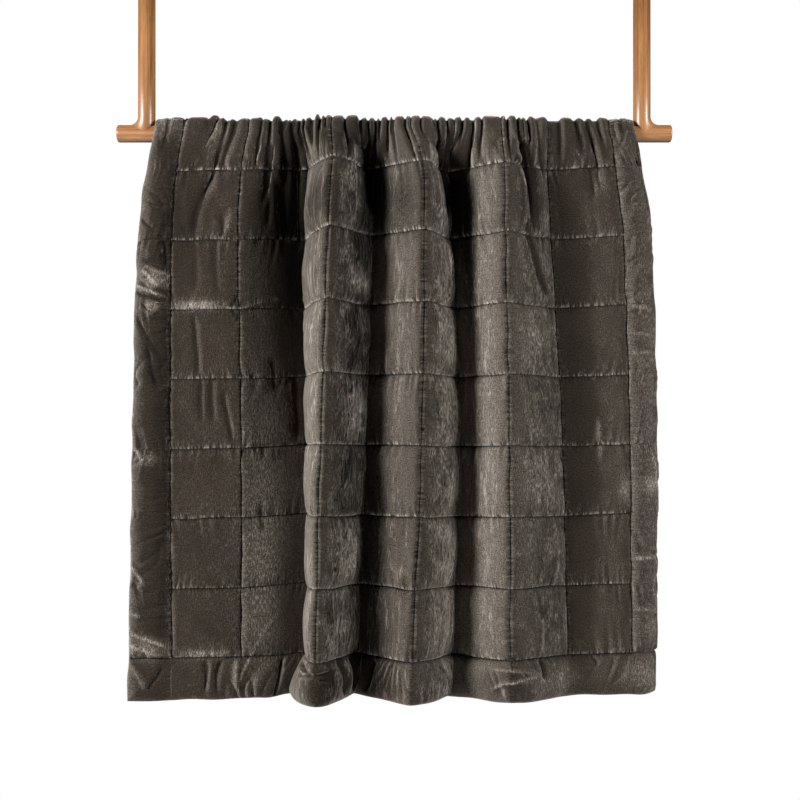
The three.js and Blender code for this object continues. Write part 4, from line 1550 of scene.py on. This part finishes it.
@dataclass
class Stitching:
    """The running stitches along every quilted seam, above their ditches. Sizes are in metres."""

    pattern: Pattern
    drape: Drape
    relief: Relief
    pitch: float = 4.6 * MM
    stitch: float = 3.0 * MM
    thickness: float = 0.45 * MM
    above: float = 0.25 * MM
    step: float = 8 * MM
    sides: int = 6

    def seam_paths(self) -> tuple[Array, list[tuple[int, int]]]:
        """Points and edges of all the seams, laid in their ditches."""
        p = self.pattern
        rows = np.arange(p.border, p.length - p.border, self.step)
        columns = np.arange(p.border, p.width - p.border, self.step)
        runs = [(np.full_like(rows, p.place(k)), rows) for k in range(p.columns + 1)]
        runs += [(columns, np.full_like(columns, p.place(k))) for k in range(p.rows + 1)]
        points, edges = [], []
        for u, v in runs:
            first = sum(len(x) for x in points)
            height = self.relief.seam_half + self.above
            points.append(self.drape.place(u, v) + self.drape.facing(u, v) * height)
            edges += [(first + i, first + i + 1) for i in range(len(u) - 1)]
        return np.concatenate(points), edges

    def inputs(self) -> dict[str, float]:
        """The tree's inputs and the size each is given."""
        return {"Pitch": self.pitch, "Stitch": self.stitch, "Thickness": self.thickness}

    def tree(self, thread: bpy.types.Material) -> bpy.types.GeometryNodeTree:
        """Nodes that set a stitch at every pitch along the paths and turn it along them."""
        tree = bpy.data.node_groups.new("stitches along seams", "GeometryNodeTree")
        tree.interface.new_socket("Seams", in_out="INPUT", socket_type="NodeSocketGeometry")
        for name in self.inputs():
            tree.interface.new_socket(name, in_out="INPUT", socket_type="NodeSocketFloat")
        tree.interface.new_socket("Stitches", in_out="OUTPUT", socket_type="NodeSocketGeometry")
        g = Graph(tree)
        given = g.add("NodeGroupInput").outputs
        line = g.add("GeometryNodeMeshToCurve", links={0: given["Seams"]}).outputs[0]
        even = g.add("GeometryNodeResampleCurve", {"mode": "LENGTH"},
                     {"Curve": line, "Length": given["Pitch"]}).outputs[0]
        bar = g.add("GeometryNodeMeshCylinder", {"Vertices": self.sides},
                    {"Radius": given["Thickness"], "Depth": given["Stitch"]}).outputs["Mesh"]
        tangent = g.add("GeometryNodeInputTangent").outputs[0]
        turn = g.add("FunctionNodeAlignRotationToVector", {"axis": "Z"}, {"Vector": tangent}).outputs[0]
        laid = g.add("GeometryNodeInstanceOnPoints", None,
                     {"Points": even, "Instance": bar, "Rotation": turn}).outputs[0]
        real = g.add("GeometryNodeRealizeInstances", links={0: laid}).outputs[0]
        dressed = g.add("GeometryNodeSetMaterial", {"Material": thread}, {"Geometry": real}).outputs[0]
        g.add("NodeGroupOutput", links={"Stitches": dressed})
        return tree

    def build(self, thread: bpy.types.Material) -> bpy.types.Object:
        """Makes all the stitches as one plain mesh."""
        points, edges = self.seam_paths()
        paths = bpy.data.meshes.new("seam paths")
        paths.from_pydata(points.tolist(), edges, [])
        guide = new_object("seam paths", paths)
        modifier = guide.modifiers.new("stitches", "NODES")
        modifier.node_group = self.tree(thread)
        for socket in modifier.node_group.interface.items_tree:
            if socket.name in self.inputs():
                modifier[socket.identifier] = self.inputs()[socket.name]
        ready = guide.evaluated_get(bpy.context.evaluated_depsgraph_get())
        mesh = bpy.data.meshes.new_from_object(ready)
        bpy.data.objects.remove(guide)
        shade_smooth(mesh)
        stitches = new_object("quilting_stitches", mesh)
        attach(stitches, "root")
        LOG.info("%s: %d faces", stitches.name, len(mesh.polygons))
        return stitches


class Side(Enum):
    """Left or right as seen from the front."""

    LEFT = -1
    RIGHT = 1


@dataclass
class Rail:
    """The round wooden bar and the two posts it hangs by, whose main sizes come from the frame.

    Sizes are in metres. joint is the gap between a post's foot and the bar.
    """

    sides: int = 96
    end_rounding: float = 3 * MM
    fillet: float = 15 * MM
    arc_steps: int = 12
    joint: float = 0.1 * MM

    def __post_init__(self) -> None:
        """Reads the bar's and posts' sizes."""
        low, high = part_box("rail_bar")
        self.middle = (low.z + high.z) / 2
        self.radius = (high.z - low.z) / 2
        self.half_length = (high.x - low.x) / 2
        post_low, post_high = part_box("rail_post_right")
        self.post_x = post_low.x + self.radius
        self.top = post_high.z
        self.around = np.arange(self.sides) * 2 * np.pi / self.sides

    def tube(self, rings: list[Array]) -> tuple[Array, Faces]:
        """Joins rings of points, which turn from the first axis to the second, into a closed tube."""
        n = self.sides
        faces = [
            (k * n + i, k * n + (i + 1) % n, (k + 1) * n + (i + 1) % n, (k + 1) * n + i)
            for k in range(len(rings) - 1) for i in range(n)
        ]
        faces.append(tuple(reversed(range(n))))
        faces.append(tuple((len(rings) - 1) * n + i for i in range(n)))
        return np.concatenate(rings), faces

    def bar(self, oak: bpy.types.Material) -> bpy.types.Object:
        """The bar, with softened ends."""
        a = self.around
        turns = np.linspace(0, np.pi / 2, self.arc_steps // 2)
        inset = self.end_rounding
        profile = [(-self.half_length + inset * (1 - math.sin(t)), self.radius - inset * (1 - math.cos(t)))
                   for t in reversed(turns)]
        profile += [(-x, r) for x, r in reversed(profile)]
        rings = [np.stack([np.full_like(a, x), r * np.cos(a), self.middle + r * np.sin(a)], -1)
                 for x, r in profile]
        points, faces = self.tube(rings)
        piece = finish_mesh("oak_rail_bar", points, faces, oak)
        self.grain(piece, points)
        return piece

    def post(self, side: Side, oak: bpy.types.Material) -> bpy.types.Object:
        """A post whose foot sits on the bar and flares outward in a hollow curve."""
        a = self.around
        r, out = self.radius, side.value
        outward = np.cos(a) * out > 0
        saddle = np.sqrt(np.maximum(0, r * r - (r * np.sin(a)) ** 2)) + self.joint
        rings = []
        for turn in np.linspace(np.pi / 2, 0, self.arc_steps + 1):
            flare = self.fillet * (1 - math.cos(turn))
            stretch = np.where(outward, (r + flare) / r, 1.0)
            height = mix(saddle, r + self.fillet, 1 - math.sin(turn))
            rings.append(np.stack([r * np.cos(a) * stretch, r * np.sin(a), height], -1))
        rings.append(np.stack([r * np.cos(a), r * np.sin(a), np.full_like(a, self.top - self.middle)], -1))
        points, faces = self.tube(rings)
        points = points + np.array([out * self.post_x, 0, self.middle])
        piece = finish_mesh(f"oak_rail_post_{side.name.lower()}", points, faces, oak)
        self.grain(piece, points[:, [2, 1, 0]])
        return piece

    def grain(self, piece: bpy.types.Object, along: Array) -> None:
        """Stores the direction of the grain, as places whose first axis runs along it."""
        stored = piece.data.attributes.new("grain", "FLOAT_VECTOR", "POINT")
        stored.data.foreach_set("vector", along.astype(np.float32).ravel())

    def build(self, oak: bpy.types.Material) -> list[bpy.types.Object]:
        """Makes the bar and both posts and places them."""
        made = [self.bar(oak), self.post(Side.LEFT, oak), self.post(Side.RIGHT, oak)]
        for piece in made:
            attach(piece, "root")
            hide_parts(piece.name.removeprefix("oak_"))
            LOG.info("%s: %d faces", piece.name, len(piece.data.polygons))
        return made


@dataclass(frozen=True)
class SoftLight:
    """A square soft box that looks at the middle of the throw. Sizes are in metres.

    glossy says whether it shows in reflections. The boxes behind would burn out the posts' edges.
    """

    name: str
    place: tuple[float, float, float]
    size: float
    watts: float
    glossy: bool = True

    def build(self, target: Vector) -> None:
        """Adds the light."""
        data = bpy.data.lights.new(self.name, "AREA")
        data.size = self.size
        data.energy = self.watts
        light = new_object(self.name, data)
        light.location = self.place
        light.visible_glossy = self.glossy
        light.rotation_euler = (target - Vector(self.place)).to_track_quat("-Z", "Y").to_euler()


@dataclass(frozen=True)
class Studio:
    """The camera, the soft lights, and a pale floor below the hanging throw. Sizes are in metres.

    The camera's view is frame_width wide at frame_distance from it.
    """

    camera_x: float = 0.0103
    below_bar: float = 0.4813
    distance: float = 2.172
    frame_width: float = 1.432
    frame_distance: float = 2.150
    floor_drop: float = 2.5
    floor_half: float = 1.6
    floor_colour: str = "e9e7e4"
    glow: float = 0.012
    glow_colour: str = "f4f2ef"
    lights: tuple[SoftLight, ...] = (
        SoftLight("key, left", (-3.05, -2.0, 0.3), 0.9, 185),
        SoftLight("fill, right", (3.1, -1.9, 0.2), 1.0, 115),
        SoftLight("behind, right", (1.2, 3.3, 1.9), 1.0, 120, False),
        SoftLight("behind, left", (-1.4, 3.3, 1.6), 1.0, 70, False),
    )

    def camera(self, bar_height: float) -> None:
        """A level camera that looks square at the throw, as the photograph does."""
        data = bpy.data.cameras.new("camera")
        data.lens = data.sensor_width * self.frame_distance / self.frame_width
        camera = new_object("camera", data)
        camera.location = (self.camera_x, -self.distance, bar_height - self.below_bar)
        camera.rotation_euler = (math.pi / 2, 0, 0)
        bpy.context.scene.camera = camera

    def floor(self) -> None:
        """A plain pale floor, well below the hem."""
        material, _, shader = new_material("painted studio floor")
        shader.inputs["Base Color"].default_value = linear(self.floor_colour)
        shader.inputs["Roughness"].default_value = 0.9
        h = self.floor_half
        corners = np.array([(-h, -h, 0), (h, -h, 0), (h, h, 0), (-h, h, 0)]) - [0, 0, self.floor_drop]
        finish_mesh("studio_floor", corners, [(0, 1, 2, 3)], material)

    def surroundings(self) -> None:
        """A white backdrop that only the camera sees, and a faint glow on the throw from all round."""
        world = bpy.data.worlds.new("studio")
        bpy.context.scene.world = world
        world.use_nodes = True
        world.node_tree.nodes.clear()
        g = Graph(world.node_tree)
        seen = g.add("ShaderNodeLightPath").outputs["Is Camera Ray"]
        white = g.add("ShaderNodeBackground", {"Color": (1, 1, 1, 1), "Strength": 1.0}).outputs[0]
        settings = {"Color": linear(self.glow_colour), "Strength": self.glow}
        dim = g.add("ShaderNodeBackground", settings).outputs[0]
        both = g.add("ShaderNodeMixShader", None, {0: seen, 1: dim, 2: white}).outputs[0]
        g.add("ShaderNodeOutputWorld", None, {"Surface": both})

    def build(self, bar_height: float) -> None:
        """Sets everything up. Colours are shown as they are, without a film curve."""
        self.camera(bar_height)
        self.floor()
        self.surroundings()
        target = Vector((0, 0, bar_height - self.below_bar))
        for light in self.lights:
            light.build(target)
        bpy.context.scene.view_settings.view_transform = "Standard"


def main() -> None:
    """Builds the rail, the throw and its stitches, and reports each piece."""
    logging.basicConfig(level=logging.INFO, format="%(message)s")
    pattern = Pattern()
    rail = Rail()
    drape = Drape(pattern, Wrap(middle=rail.middle))
    relief = Relief(pattern, drape.wrap.over_bar, Puckers())
    Studio().build(rail.middle)
    rail.build(OiledOak().build())
    Throw(pattern, drape, relief).build(Velvet(pattern).build())
    Stitching(pattern, drape, relief).build(Thread().build())


if __name__ == "__main__":
    main()
